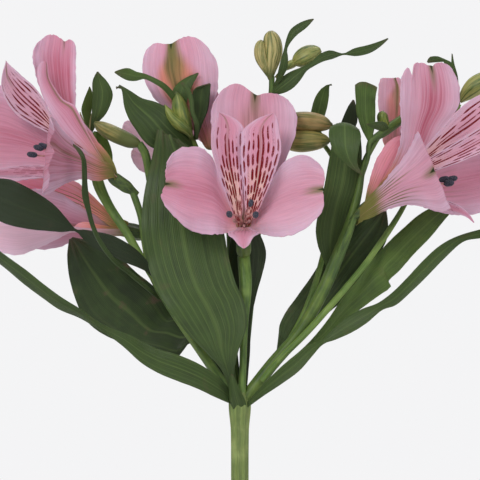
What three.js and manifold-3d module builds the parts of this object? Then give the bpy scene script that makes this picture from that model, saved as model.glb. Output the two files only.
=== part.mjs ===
import * as THREE from "three";
import { mergeVertices } from "three/addons/utils/BufferGeometryUtils.js";
import Module from "manifold-3d";

// Potted Peruvian lily: one stem with a whorl of leaves and an umbel of blooms.
// Millimetres, +Z up. The origin is the middle of the pot's underside.
// The plant is described from its whorl: across (+X), depth (+Y, away from
// the front), and up from the whorl.

const wasm = await Module();
wasm.setup();

// Driving dimensions of the pot and soil
const potHeight = 112;
const potFootRadius = 42;
const potTopRadius = 56;
const potRimRadius = 61;
const potRimHeight = 24;
const potWall = 5;
const potFloor = 8;
const potSides = 28;
const drainHoleRadius = 4.5;
const drainHoleCircle = 26;
const drainHoles = 3;
const soilTop = 98;
const soilRoughness = 1.6;
const fit = 0.35;

// Driving dimensions of the stem
const whorlHeight = 220;
const stemRadius = 3.7;
const stemFoot = 52;
const stemRibs = 9;
const stemRibDepth = 0.35;
const whorlRadius = 4.6;
const raySides = 5;
const stepsPerRow = 1.2;

// Blades of leaves and petals
const leafThickness = 0.7;
const petalThickness = 0.7;
const leastWidth = 0.9;
const smoothing = 0.05;
const viewer = [0, -1, 0];

const finishes = {
  pot: { color: 0xb0643f, roughness: 0.85 },
  soil: { color: 0x3a2a1e, roughness: 1 },
  stem: { color: 0x7d9345, roughness: 0.6 },
  leaf: { color: 0x44593a, roughness: 0.55 },
  petal: { color: 0xd88fae, roughness: 0.6 },
  stamen: { color: 0x4a4a66, roughness: 0.7 },
  bud: { color: 0x8f9247, roughness: 0.6 },
  bronzeBud: { color: 0x96794a, roughness: 0.6 },
};

const plant = new THREE.Group();
plant.position.z = whorlHeight;
const potted = new THREE.Group();

const vector = (place) => new THREE.Vector3(...place);

// A closed mesh as a solid for joining and cutting
function solidOf(geometry) {
  let clean = geometry.clone();
  clean.deleteAttribute("normal");
  clean.deleteAttribute("uv");
  clean = mergeVertices(clean, 1e-4);
  const vertProperties = new Float32Array(clean.attributes.position.array);
  const triVerts = new Uint32Array(clean.index.array);
  return new wasm.Manifold(new wasm.Mesh({ numProp: 3, vertProperties, triVerts }));
}

// The largest piece of a solid, as a mesh geometry
function geometryOf(solid) {
  const pieces = solid.simplify(smoothing).decompose().sort((a, b) => b.volume() - a.volume());
  const mesh = pieces[0].getMesh();
  const geometry = new THREE.BufferGeometry();
  geometry.setAttribute("position", new THREE.BufferAttribute(mesh.vertProperties.slice(), 3));
  geometry.setIndex(new THREE.BufferAttribute(mesh.triVerts.slice(), 1));
  geometry.computeVertexNormals();
  return geometry;
}

function addNode(name, solid, finish, group = plant) {
  const material = new THREE.MeshStandardMaterial({ ...finishes[finish], metalness: 0 });
  const mesh = new THREE.Mesh(geometryOf(solid), material);
  mesh.name = name;
  group.add(mesh);
}

const joined = (solids) => solids.reduce((sum, solid) => sum.add(solid));

// A curve through [across, depth, up, ...] rows, and one through their further values
function curves(rows) {
  const spine = new THREE.CatmullRomCurve3(rows.map(([x, y, z]) => vector([x, y, z])));
  const sizes = new THREE.CatmullRomCurve3(
    rows.map(([, , , size, turn = 0]) => vector([size, turn, 0])),
    false,
    "catmullrom",
    0.4,
  );
  return { spine, sizes };
}

// Rings or sheets of points, closed into one mesh. Each ring has the same count.
function skin(rings) {
  const count = rings[0].length;
  const positions = rings.flat().flatMap((point) => [point.x, point.y, point.z]);
  const index = [];
  for (let i = 0; i < rings.length - 1; i += 1) {
    for (let j = 0; j < count; j += 1) {
      const a = i * count + j;
      const b = i * count + ((j + 1) % count);
      index.push(a, b, b + count, a, b + count, a + count);
    }
  }
  const last = (rings.length - 1) * count;
  for (let j = 1; j < count - 1; j += 1) {
    index.push(0, j + 1, j);
    index.push(last, last + j, last + j + 1);
  }
  const geometry = new THREE.BufferGeometry();
  geometry.setAttribute("position", new THREE.Float32BufferAttribute(positions, 3));
  geometry.setIndex(index);
  return geometry;
}

// A round stalk through [across, depth, up, radius] rows, thicker by extra
function stalk(rows, { sides = raySides, steps, extra = 0, ribs = 0 } = {}) {
  const { spine, sizes } = curves(rows);
  const rings = [];
  const count = steps ?? Math.ceil(rows.length * stepsPerRow);
  let side = new THREE.Vector3(1, 0, 0.01);
  for (let i = 0; i <= count; i += 1) {
    const t = i / count;
    const centre = spine.getPoint(t);
    const along = spine.getTangent(t);
    const other = new THREE.Vector3().crossVectors(along, side).normalize();
    side = new THREE.Vector3().crossVectors(other, along).normalize();
    const radius = Math.max(sizes.getPoint(t).x, 0.3) + extra;
    const ring = [];
    for (let j = 0; j < sides; j += 1) {
      const angle = (2 * Math.PI * j) / sides;
      const ridge = radius * (ribs && j % 2 ? 1 - stemRibDepth / stemRadius : 1);
      const out = side.clone().multiplyScalar(Math.cos(angle) * ridge);
      ring.push(out.addScaledVector(other, Math.sin(angle) * ridge).add(centre));
    }
    rings.push(ring);
  }
  return solidOf(skin(rings));
}

// A leaf or petal through [across, depth, up, width, turn] rows.
// facing is the way its upper face looks, and turn rolls it about its spine.
function blade({
  rows,
  facing = viewer,
  cup = 0.06,
  wave = 0,
  waves = 3,
  lobes = 0,
  steps = 8,
  cells = 4,
  thickness = leafThickness,
}) {
  const { spine, sizes } = curves(rows);
  const sheet = [];
  for (let i = 0; i <= steps; i += 1) {
    const t = i / steps;
    const centre = spine.getPoint(t);
    const along = spine.getTangent(t);
    const size = sizes.getPoint(t);
    const side = new THREE.Vector3().crossVectors(along, vector(facing)).normalize();
    side.applyAxisAngle(along, THREE.MathUtils.degToRad(size.y));
    const front = new THREE.Vector3().crossVectors(side, along);
    const width = Math.max(size.x, leastWidth);
    const line = [];
    for (let j = 0; j <= cells; j += 1) {
      const across = (2 * j) / cells - 1;
      const ripple = Math.sin(waves * 2 * Math.PI * t + across * 2) * wave * across ** 2;
      const rise = cup * width * across ** 2 + ripple * Math.min(1, width / 6);
      const reach = i === steps ? lobes * (Math.sin(Math.PI * Math.abs(across)) - across ** 4) : 0;
      line.push(
        centre
          .clone()
          .addScaledVector(side, (across * width) / 2)
          .addScaledVector(front, rise)
          .addScaledVector(along, reach),
      );
    }
    sheet.push(line);
  }
  return solidOf(thicken(sheet, thickness));
}

// A sheet of points given a thickness, both faces split alike
function thicken(sheet, thickness) {
  const rows = sheet.length;
  const count = sheet[0].length;
  const at = (i, j) =>
    sheet[THREE.MathUtils.clamp(i, 0, rows - 1)][THREE.MathUtils.clamp(j, 0, count - 1)];
  const positions = [];
  for (const way of [0.5, -0.5]) {
    for (let i = 0; i < rows; i += 1) {
      for (let j = 0; j < count; j += 1) {
        const across = at(i, j + 1).clone().sub(at(i, j - 1));
        const along = at(i + 1, j).clone().sub(at(i - 1, j));
        const out = across.cross(along).normalize();
        const point = at(i, j).clone().addScaledVector(out, way * thickness);
        positions.push(point.x, point.y, point.z);
      }
    }
  }
  const back = rows * count;
  const index = [];
  const wall = (a, b) => index.push(a, b, b + back, a, b + back, a + back);
  for (let i = 0; i < rows - 1; i += 1) {
    for (let j = 0; j < count - 1; j += 1) {
      const a = i * count + j;
      const b = a + 1;
      const c = a + count;
      const d = c + 1;
      index.push(a, b, d, a, d, c);
      index.push(a + back, d + back, b + back, a + back, c + back, d + back);
    }
    wall(i * count + count - 1 + count, i * count + count - 1);
    wall(i * count, (i + 1) * count);
  }
  for (let j = 0; j < count - 1; j += 1) {
    wall(j + 1, j);
    wall((rows - 1) * count + j, (rows - 1) * count + j + 1);
  }
  const geometry = new THREE.BufferGeometry();
  geometry.setAttribute("position", new THREE.Float32BufferAttribute(positions, 3));
  geometry.setIndex(index);
  return geometry;
}

// Blooms: foot is the top of the ovary, axis points out of the flower.
// A petal's place round the axis is an angle seen from in front of the bloom.
// A younger, half open bloom has a size below one for the petals that open by rule.
const petalPlaces = {
  outerTop: 90,
  outerLeft: 210,
  outerRight: 330,
  innerRight: 30,
  innerLeft: 150,
  innerLow: 270,
};

const blooms = {
  front: {
    foot: [1.5, 0.5, 64.5],
    axis: [0, -0.72, 0.69],
    outerTop: { rows: [[3, -1, 82, 15], [4.5, 1, 98, 29], [5.2, 3.5, 111, 35], [5, 6, 121, 28]] },
    outerLeft: {
      rows: [[-6, -6.5, 75, 14], [-14, -11, 81, 30], [-22, -14, 84.5, 35], [-28.5, -15, 88, 24]],
      facing: [0.25, -0.9, 0.35],
    },
    outerRight: {
      rows: [[9, -6.5, 74.5, 14], [17, -11, 79.5, 28], [25, -14, 82, 33], [31.5, -15, 83.5, 23]],
      facing: [-0.25, -0.9, 0.35],
    },
    innerRight: {
      rows: [[5.5, -8.5, 80, 7], [7.5, -9.5, 92, 12.5], [9.5, -8, 103, 14], [13.2, -4, 115.6, 1.2]],
      facing: [-0.1, -0.95, 0.2],
    },
    innerLeft: {
      rows: [[-1.5, -9, 80, 6], [-4.5, -10, 92, 10], [-6.3, -9, 103, 11], [-8.8, -5, 115.2, 1.2]],
      facing: [0.1, -0.95, 0.2],
    },
    innerLow: {
      rows: [[0.5, -12, 67, 8], [-0.3, -20, 69, 11], [0.5, -26, 66.5, 8], [1.6, -29, 62, 1.2]],
      facing: [0, -0.3, 0.95],
    },
    anthers: [
      [-4, -24, 75.2], [4.4, -25, 79.2], [6.4, -23, 75.2],
      [-1, -22, 73], [2.5, -24, 74], [1, -23, 78],
    ],
  },
  left: {
    foot: [-49, 0, 88.5],
    axis: [-0.82, -0.12, 0.56],
    outerTop: {
      rows: [[-58, -1, 102, 11], [-65, -2, 117, 19], [-70, -2, 131, 27], [-71.5, -1, 141, 21]],
      facing: [-0.75, -0.65, 0.1],
    },
    innerLeft: {
      rows: [[-62, 2, 99, 6], [-74, 4, 110.5, 11], [-84.5, 6, 122, 14], [-93.2, 6, 135.2, 1.2]],
      facing: [-0.4, -0.85, -0.3],
    },
    innerRight: {
      rows: [[-58, -5, 101, 6], [-66, -8, 113, 8], [-73, -9, 124, 10], [-78.5, -8, 134.5, 1.2]],
      facing: [-0.6, 0.75, -0.2],
    },
    outerLeft: {
      rows: [[-64, 6, 97, 12], [-78, 10, 101, 26], [-92, 12, 106, 34], [-105, 11, 112, 25]],
      facing: [-0.3, -0.9, 0.3],
    },
    outerRight: {
      rows: [[-57, -7, 93, 11], [-65, -13, 96, 20], [-72, -17, 95, 25], [-78, -20, 90, 17]],
      facing: [-0.6, 0.75, 0.2],
    },
    innerLow: {
      rows: [[-60, -1, 90, 6], [-76, -2, 88, 9], [-92, -3, 88.5, 8], [-104, -3, 90, 1.2]],
      facing: [-0.1, -0.3, 0.95],
    },
    anthers: [
      [-83.2, -4, 98.8], [-80, -6, 101.2], [-78.4, -3, 102],
      [-86, -2, 95], [-84, -5, 93], [-82, -1, 95],
    ],
  },
  right: {
    foot: [51, -4, 77.5],
    axis: [0.78, -0.25, 0.57],
    outerTop: {
      rows: [[61, -3, 92, 11], [69, -2, 107, 20], [74.5, -1, 121, 32], [77.5, 1, 132, 25]],
      facing: [0.55, -0.8, 0],
    },
    outerLeft: {
      rows: [[57, -10, 82, 12], [65, -18, 87, 24], [71, -23, 90, 31], [75.5, -27, 92.5, 30]],
      facing: [0.5, 0.8, 0.3],
      lobes: 1.5,
    },
    innerRight: {
      rows: [[66, 1, 94, 6], [76, 3, 104, 11], [87, 4, 115, 14], [101, 2, 127, 1.2]],
      facing: [0.3, -0.9, -0.3],
    },
    innerLeft: {
      rows: [[64, -6, 88, 5], [76, -8, 96, 9], [89, -9, 104, 12], [104, -10, 112, 1.2]],
      facing: [0.2, -0.8, 0.5],
    },
    outerRight: {
      rows: [[64, 3, 85, 10], [78, 8, 86, 24], [92, 10, 88, 32], [105, 10, 92, 25]],
      facing: [0.2, -0.9, 0.4],
    },
    innerLow: {
      rows: [[62, -8, 78.5, 6], [76, -12, 76, 10], [87, -14, 74, 8], [93.4, -15, 71.6, 1.2]],
      facing: [0.1, -0.2, 0.95],
    },
    anthers: [
      [81.6, -12, 89.2], [83.2, -14, 87.4], [84.8, -12, 89.8],
      [84, -11, 84.5], [80, -9, 85.5], [87, -10, 86.5],
    ],
  },
  low_left: { foot: [-46, 24, 69], axis: [-0.95, 0.1, 0.25], spread: 17 },
  back_left: {
    foot: [-8, 20, 101],
    axis: [-0.45, 0.45, 0.8],
    size: 0.7,
    spread: 7,
    outerTop: {
      rows: [[-13, 18, 112, 13], [-19, 17, 125, 25], [-24.5, 17, 136, 31], [-27, 18, 142, 25]],
      facing: [-0.1, 1, 0.1],
    },
  },
  hidden_left: {
    foot: [-22, 30, 88],
    axis: [-0.2, 0.95, 0.2],
    size: 0.6,
    spread: 8,
    outerTop: {
      rows: [[-31.4, 33, 98.2, 7], [-37.3, 34, 102.5, 9], [-42.6, 35, 106.8, 10], [-45.5, 36, 109.4, 7]],
      lobes: 1,
    },
    outerRight: {
      rows: [[-29, 33, 92.5, 6], [-35, 34, 96.5, 9], [-40, 35, 97.5, 9], [-43, 36, 97.6, 6]],
      lobes: 0.8,
    },
  },
  back_right: {
    foot: [62, 19, 93],
    axis: [0.3, 0.45, 0.85],
    size: 0.75,
    spread: 8,
    outerTop: {
      rows: [[62, 18, 103, 5.5], [61, 18, 110, 8], [60.5, 18, 117, 10], [60.8, 18.5, 124, 9]],
      lobes: 1,
    },
  },
};

const petalLength = 44;
const clawRadius = 2.5;
const receptacleRadius = 2.9;

// The bloom's own directions: out along its axis, across and up, seen from in front
function directions(bloom) {
  const out = vector(bloom.axis).normalize();
  const across = new THREE.Vector3(0, 0, 1).cross(out).normalize();
  const up = new THREE.Vector3().crossVectors(out, across);
  return { out, across, up };
}

function besideAxis(bloom, angle, along, radius) {
  const { out, across, up } = directions(bloom);
  const turn = THREE.MathUtils.degToRad(angle);
  return vector(bloom.foot)
    .addScaledVector(out, along)
    .addScaledVector(across, Math.cos(turn) * radius)
    .addScaledVector(up, Math.sin(turn) * radius);
}

// A petal with a claw by the axis. One with no rows of its own opens by rule.
function petal(bloom, place) {
  const angle = petalPlaces[place];
  const outer = place.startsWith("outer");
  const given = bloom[place] ?? {};
  const row = (along, radius, width) => [...besideAxis(bloom, angle, along, radius).toArray(), width];
  const claw = [row(1.4, clawRadius, 2.4), outer ? row(6, 3.9, 4.6) : row(6, 3.2, 3)];
  const size = bloom.size ?? 1;
  const spread = outer ? bloom.spread : bloom.spread * 0.72;
  const reach = (share, open) => [petalLength * size * share, 3.4 + (spread - 3.4) * open];
  const openRows = () => [
    row(...reach(0.4, 0.25), (outer ? 16 : 8) * size),
    row(...reach(0.66, 0.58), (outer ? 27 : 11) * size),
    row(...reach(0.86, 0.86), (outer ? 28 : 8) * size),
    row(...reach(outer ? 0.98 : 1.02, 1), outer ? 19 * size : 1.2),
  ];
  const centre = besideAxis(bloom, angle, petalLength * 0.8, 0);
  const inward = centre.sub(besideAxis(bloom, angle, petalLength * 0.4, bloom.spread ?? 10));
  return blade({
    rows: [...claw, ...(given.rows ?? openRows())],
    facing: given.facing ?? inward.toArray(),
    cup: outer ? 0.09 : 0.1,
    wave: outer ? 0.5 : 0.2,
    lobes: given.lobes ?? (outer ? 2.6 : 0),
    steps: size < 1 ? 3 : 4,
    cells: outer ? 4 : 2,
    thickness: petalThickness,
  });
}

const alongAxis = (bloom, along, radius) => [...besideAxis(bloom, 0, along, 0).toArray(), radius];

function perianth(bloom) {
  const cup = [alongAxis(bloom, fit, 2.5), alongAxis(bloom, 2.4, receptacleRadius)];
  const receptacle = stalk(cup, { sides: 8, steps: 1 });
  return joined([receptacle, ...Object.keys(petalPlaces).map((place) => petal(bloom, place))]);
}

// Six thin stalks with a small oblong anther each, on a disc inside the claws
function stamens(bloom) {
  const disc = stalk([alongAxis(bloom, 2.8, 0.9), alongAxis(bloom, 4.6, 0.9)], { steps: 1 });
  const solids = [disc];
  const size = bloom.size ?? 1;
  const ruled = [0, 60, 120, 180, 240, 300].map((angle) =>
    besideAxis(bloom, angle, (angle % 120 ? 24 : 29) * size, 4 * size ** 2).toArray(),
  );
  for (const end of bloom.anthers ?? ruled) {
    const start = alongAxis(bloom, 3.6, 0.55);
    const middle = besideAxis(bloom, 0, 13 * size, 0).lerp(vector(end), 0.25);
    const neck = middle.clone().lerp(vector(end), 0.88);
    const beyond = middle.clone().lerp(vector(end), 1.16);
    const rows = [
      start,
      [...middle.toArray(), 0.45],
      [...neck.toArray(), 0.45],
      [...end, 1.25],
      [...beyond.toArray(), 0.5],
    ];
    solids.push(stalk(rows, { sides: 3, steps: 5 }));
  }
  return joined(solids);
}

// The ovary below a bloom, as the last rows of its stalk
function ovaryRows(bloom) {
  return [alongAxis(bloom, -10, 1.5), alongAxis(bloom, -5, 3.2), alongAxis(bloom, 0, 2.5)];
}

// Rays of the umbel, from the whorl out: [across, depth, up, radius]
const rays = [
  // middle stalk to the front bloom
  [[0.6, -1.5, 1, 1.9], [1.2, -0.8, 14, 1.5], [1.6, 0, 32, 1.4], [2.2, 3, 47, 1.4],
    ...ovaryRows(blooms.front)],
  // stalk to the top bud
  [[0.5, 2, 1, 1.3], [1.6, 5, 9, 1.3], [3, 10, 22, 1.3], [5, 18, 46, 1.2], [8, 19, 80, 1.2],
    [10.5, 13, 108, 1.2], [12.6, 9, 124, 1.2], [12.8, 8.5, 130.5, 1.2]],
  // stalk to the bronze and olive buds, and its short fork
  [[1, 2, 1, 1.3], [2.6, 6, 9, 1.3], [5, 13, 24, 1.3], [10, 21, 48, 1.2], [12.5, 20, 76, 1.2],
    [13, 15, 96, 1.2], [16, 13, 105.5, 1.2]],
  [[13, 15, 95, 1.1], [14.5, 14, 105, 1.1], [17, 13, 112, 1.1]],
  // stalk to the back left bloom
  [[-0.3, 2, 1, 1.3], [-1, 6, 9, 1.3], [-3, 16, 30, 1.3], [-4, 18, 60, 1.3], [-4.5, 15, 82, 1.3],
    ...ovaryRows(blooms.back_left)],
  // stalk to the hidden left bloom
  [[-0.8, 2, 1, 1.3], [-2.4, 6, 9, 1.3], [-7, 19, 30, 1.3], [-12, 25, 58, 1.3],
    ...ovaryRows(blooms.hidden_left)],
  // stalk to the low left bloom
  [[-1.4, 2, 0.5, 1.5], [-4, 7, 7, 1.5], [-11, 19, 18, 1.5], [-22, 24, 38, 1.5],
    ...ovaryRows(blooms.low_left)],
  // stalk to the middle left tuft
  [[-1, 1.5, 1, 1.3], [-3, 5, 12, 1.3], [-8, 11, 40, 1.2], [-12, 12, 75, 1.2], [-17, 10.5, 100, 1.1],
    [-21, 9.5, 109.5, 1.1]],
  // left branch and its forks: left bloom, left tuft, diagonal bud
  [[-1.5, 1, 1, 2.2], [-7, 2, 8, 2.1], [-16, 2.5, 21, 2], [-27, 1.5, 37, 1.9], [-35, 0, 51, 1.7],
    [-38, -0.5, 64, 1.5], [-39.5, 0, 74, 1.5], ...ovaryRows(blooms.left)],
  [[-33, 0.5, 47, 1.5], [-39, 2, 57, 1.4], [-46, 4.5, 68.8, 1.4], [-52.8, 9.5, 79, 1.3],
    [-57, 12.5, 88, 1.2], [-58.5, 13.5, 98, 1.1], [-59, 13, 108, 1]],
  [[-29, 1.2, 40, 1.3], [-32, 3.5, 56, 1.2], [-34.5, 6, 78, 1.1], [-36.5, 7, 92, 1.1],
    [-38, 7, 99.5, 1.1], [-40.5, 6.6, 103.6, 1.2]],
  // right branch and its forks: right bloom, small right bud, back right bloom
  [[1.5, 0, 0, 2.9], [6, 0, 6, 2.7], [13, 0, 15, 2.5], [24, -0.5, 28, 2.2], [33, -0.5, 44, 2],
    [39, 0, 58, 1.9], [44, 0.5, 71, 1.7], [47.5, 1, 84, 1.6], [49.5, 1.5, 95, 1.5],
    [53.5, 3, 103, 1.3], [57, 4.5, 108.5, 1.1]],
  [[36, -0.2, 51, 1.5], [40, -1.5, 61, 1.4], ...ovaryRows(blooms.right)],
  [[48.5, 1.2, 90, 1.2], [51.2, 1.5, 98, 1.1], [52, 1.5, 106, 1]],
  [[43, 0.5, 69, 1.4], [49, 4.5, 78, 1.3], [55, 10, 82, 1.3], ...ovaryRows(blooms.back_right)],
  // bright stalk to the right edge bud and the high right leaves
  [[12, -1, 12, 1.6], [24, -4, 25.5, 1.5], [36.8, -3, 36.4, 1.4], [46, 1, 48, 1.3],
    [58, 8.5, 65, 1.3], [66, 15.5, 78, 1.2], [75, 21, 96, 1.1], [84, 22, 112, 1.1],
    [88.5, 21, 119.5, 1]],
  // pale stalk to the narrow tip leaf
  [[15, 1, 17, 1.5], [21, 4, 26, 1.5], [27, 7.5, 38, 1.4], [33, 11, 57, 1.3], [34.5, 15, 80, 1.2],
    [33, 19, 100, 1.1], [31.5, 19.5, 109.5, 1]],
];

const mainStem = [
  [0, 0, stemFoot - whorlHeight, stemRadius],
  [0, 0, -60, stemRadius],
  [0, 0, -12, stemRadius],
  [0, 0, -1, whorlRadius],
  [0, 0, 3, whorlRadius - 0.8],
  [0, 0, 5.5, 2],
];

// Stem, whorl and rays as they grew, or the same grown outward to clear what sits on them
function stemAndRays(extra = 0) {
  const stem = stalk(mainStem, { sides: stemRibs * 2, steps: 10, extra, ribs: stemRibs });
  return joined([stem, ...rays.map((rows) => stalk(rows, { extra }))]);
}

const leaves = {
  leaf_front_left: {
    rows: [[-0.8, -3.8, 4, 3.5], [-9.2, -6, 20.8, 16], [-15.5, -6, 41, 29], [-20.5, -2.5, 61, 33],
      [-24.5, 1, 80, 30], [-28.8, 2, 97, 21], [-33.2, 1, 109.2, 1]],
    cup: 0.08,
    wave: 1,
    steps: 10,
  },
  leaf_long_left: {
    rows: [[-3, -1.8, -1.5, 3.5], [-14, -9.4, 8.8, 9.5], [-24.8, -11.5, 14.4, 11.5],
      [-36, -12.5, 18.6, 11], [-47, -13.5, 24.8, 9.5], [-58, -14, 30.8, 8.5, -35],
      [-68, -14, 38, 8.5, -60], [-82, -13, 47.5, 8.5, -55], [-96, -12, 57, 8, -55],
      [-108, -11, 65, 5.5, -50], [-116, -10, 69.5, 1, -45]],
    steps: 12,
    cells: 2,
  },
  leaf_broad_left: {
    rows: [[-2.6, 2.6, 1, 3], [-13, 8, 11, 4.5], [-21, 10, 19, 17], [-33, 11, 32, 30],
      [-47, 10, 46, 30], [-60, 8, 57.5, 20], [-68.5, 6, 65, 1]],
    wave: 0.8,
  },
  leaf_twisted_left: {
    rows: [[-34, -1.2, 49.5, 2.5], [-40, -5, 55, 5], [-48, -8, 59.6, 6.5], [-56, -9.5, 64, 6.5, 20],
      [-65.2, -10.5, 68.4, 5, 70], [-78, -11, 75.2, 13, 10], [-92, -10.5, 80.8, 15],
      [-106, -10, 84.8, 11], [-115, -9, 86.4, 1]],
    steps: 12,
    cells: 2,
  },
  leaf_curled_left: {
    rows: [[-32, 0, 45, 2.4], [-37.5, -6, 49.6, 3, 30], [-46, -12, 54, 4, 60],
      [-54, -16.5, 62, 4, 60], [-59, -19, 72, 4, 62], [-62.4, -20.5, 82, 4, 65],
      [-62.6, -22, 92, 3.5, 65], [-64, -23, 100, 2.5, 60], [-67, -23, 102.6, 1, 50]],
    steps: 12,
    cells: 2,
  },
  leaf_upper_left: {
    rows: [[-16.9, 10.6, 100, 2.2], [-21.5, 9, 101.6, 4], [-27, 7, 106.8, 10.5], [-34, 5.4, 113.2, 15],
      [-41, 4, 119.6, 10], [-46.4, 3.5, 125, 3], [-49.5, 2.5, 126, 1]],
    cup: 0.1,
  },
  leaf_folded_right: {
    rows: [[37.2, 1.5, 51, 2.4], [35.5, 5.5, 59, 11], [37.5, 6.5, 76, 17], [40.5, 6, 94, 16.5],
      [41, 4.5, 106.5, 13], [41.4, 0.5, 111.5, 12.5], [43.6, -3.4, 107.5, 12.5],
      [47, -4.6, 99, 7], [48.6, -5, 92, 1]],
    facing: [0, -1, 0.15],
    cup: 0.04,
    steps: 12,
  },
  leaf_broad_right: {
    rows: [[17.5, 3, 20, 3], [25, 9.5, 32, 15], [37, 14.5, 50, 22], [48, 16, 65, 22],
      [56, 17, 74, 12], [61, 17.5, 80, 1]],
    wave: 0.8,
  },
  leaf_lance_right: {
    rows: [[2.8, 1.8, -1.5, 3], [14, 2.5, 6.5, 5], [24, 1.5, 16, 5.5], [34.4, 1, 27, 6],
      [44.8, 5, 39.5, 10.5], [57.5, 9.5, 52.5, 13], [69, 13.5, 64.5, 12.5], [81, 17, 77, 9.5],
      [90, 18.5, 86.4, 1]],
    facing: [0.1, -1, 0.1],
    steps: 10,
    wave: 0.7,
  },
  leaf_ribbon_right: {
    rows: [[2.8, -2.2, -1.8, 3.5], [12, -5.2, 5.4, 8.5], [22, -7.5, 13.8, 10], [33, -8.5, 24.5, 4.5, 50],
      [42, -9.5, 30, 8.5, 15], [49, -10, 33.6, 8.5], [55.5, -10.5, 38.4, 5, 55],
      [64, -10.5, 45.6, 7, 30], [73, -10, 54.5, 7.5, 20], [83, -10, 62.5, 6.5, 40],
      [96, -10, 67.6, 5.5, 40], [107, -9, 69.8, 4, 30], [113, -9, 70.4, 1, 20]],
    steps: 15,
    cells: 2,
  },
  leaf_behind_stalk: {
    rows: [[1, 1, 6, 2], [1.5, 3.6, 20, 4], [2.6, 8, 38, 11], [4, 11.5, 54, 15], [4.6, 13, 70, 12],
      [4.6, 13, 84, 1]],
  },
  leaf_tip_right: {
    rows: [[31.6, 19.4, 109.9, 2], [32.6, 19, 114, 6], [34.4, 18.5, 120, 5.5], [36.8, 18, 127, 1]],
    steps: 5,
    cells: 2,
  },
  leaf_dark_right: {
    rows: [[33.4, 18.8, 99, 2], [39.6, 15.5, 106.5, 4.5], [44, 12.5, 114, 6], [46.6, 12, 122, 1]],
    steps: 6,
    cells: 2,
  },
  leaf_blunt_right: {
    rows: [[52, 1.2, 104.5, 1.8], [52.3, 1, 113, 7], [51.2, 0.5, 120, 8.5], [51, 0.5, 127, 7.5]],
    cup: 0.2,
    steps: 5,
    cells: 2,
  },
  bract_at_whorl: {
    rows: [[-2.6, -4, -2, 2], [-2.9, -8.4, 3.5, 3.6], [-2.6, -9.4, 10, 0.9]],
    steps: 4,
    cells: 2,
  },
  leaf_upright_top: {
    rows: [[12.6, 7.8, 126.5, 1.4], [15.6, 2.4, 131.5, 4.4], [18.4, 1.4, 139.5, 2.4],
      [20, 1.6, 146, 4], [24.4, 2, 150.8, 4], [29.6, 2.4, 153.4, 1]],
    steps: 9,
    cells: 2,
  },
  leaf_long_top: {
    rows: [[13, 8.4, 121, 1.4], [17, 6.4, 124, 3.4], [22.4, 4.4, 129.5, 7], [32, 3, 136.6, 4.8],
      [42, 3, 139.4, 4.4, 78], [50.6, 3, 141.4, 4.6], [59.2, 3, 145.8, 1]],
    steps: 10,
    cells: 2,
  },
  leaf_tall_left: {
    rows: [[-58.4, 12, 107.4, 1.4], [-55.8, 9.5, 116, 5.4], [-54.8, 9.5, 123.5, 7.4],
      [-57.2, 9.5, 132, 1]],
    steps: 6,
    cells: 2,
  },
  leaf_short_left: {
    rows: [[-59.6, 13.6, 106.6, 1.4], [-61.6, 17, 115.6, 5.2], [-60.4, 17, 125.8, 1]],
    steps: 5,
    cells: 2,
  },
  leaf_hanging_left: {
    rows: [[-58.2, 14, 106.5, 1.6], [-55.6, 16, 104, 6], [-52.4, 17, 98.6, 5.4], [-51, 17, 93.6, 1]],
    steps: 5,
    cells: 2,
  },
  leaf_spoon_left: {
    rows: [[-20.6, 8.9, 107.6, 1.4], [-21.4, 4, 110.4, 2], [-25.2, 1.8, 116, 3], [-31.4, 1.6, 126, 2.6],
      [-38.4, 3.2, 130.2, 2.4], [-44, 5, 131.4, 4.8], [-50.4, 5, 131.6, 1]],
    steps: 9,
    cells: 2,
  },
  leaf_point_left: {
    rows: [[-20, 10.4, 106.5, 1.4], [-20.6, 14, 119.5, 5], [-16.8, 14, 131.8, 1]],
    steps: 5,
    cells: 2,
  },
  leaf_fold_left: {
    rows: [[-18.8, 9.8, 106, 1.6], [-15.2, 9.2, 113, 6], [-14, 8.8, 120, 7], [-12.2, 8.8, 127.4, 1]],
    cup: 0.22,
    steps: 6,
    cells: 2,
  },
  leaf_high_right: {
    rows: [[86.4, 20.6, 116, 1.2], [84, 17.6, 127, 3.4], [80.6, 17.5, 138.4, 3.8], [75, 17, 136.2, 1]],
    steps: 6,
    cells: 2,
  },
  leaf_spike_right: {
    rows: [[87.6, 22, 117.4, 1.2], [86.4, 23.4, 128, 2.6], [84.8, 22.6, 140, 1]],
    steps: 4,
    cells: 2,
  },
  bract_right: {
    rows: [[55.4, 2.6, 106, 1.2], [55.6, -2.6, 109.6, 4], [52.6, -6, 110.6, 1]],
    steps: 4,
    cells: 2,
  },
};

// Plain lower leaves on the stem: [height from the whorl, way it points in degrees]
const lowerLeaves = [[-66, 205], [-88, 330], [-106, 80]];

function lowerLeaf([up, heading]) {
  const angle = THREE.MathUtils.degToRad(heading);
  const row = (out, rise, width) => [Math.cos(angle) * out, Math.sin(angle) * out, up + rise, width];
  return {
    rows: [row(2, -3, 3), row(12, 6, 8), row(28, 12, 12), row(44, 11, 9), row(58, 4, 1)],
    facing: [0, 0, 1],
    wave: 0.5,
    steps: 8,
    cells: 2,
  };
}

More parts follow.
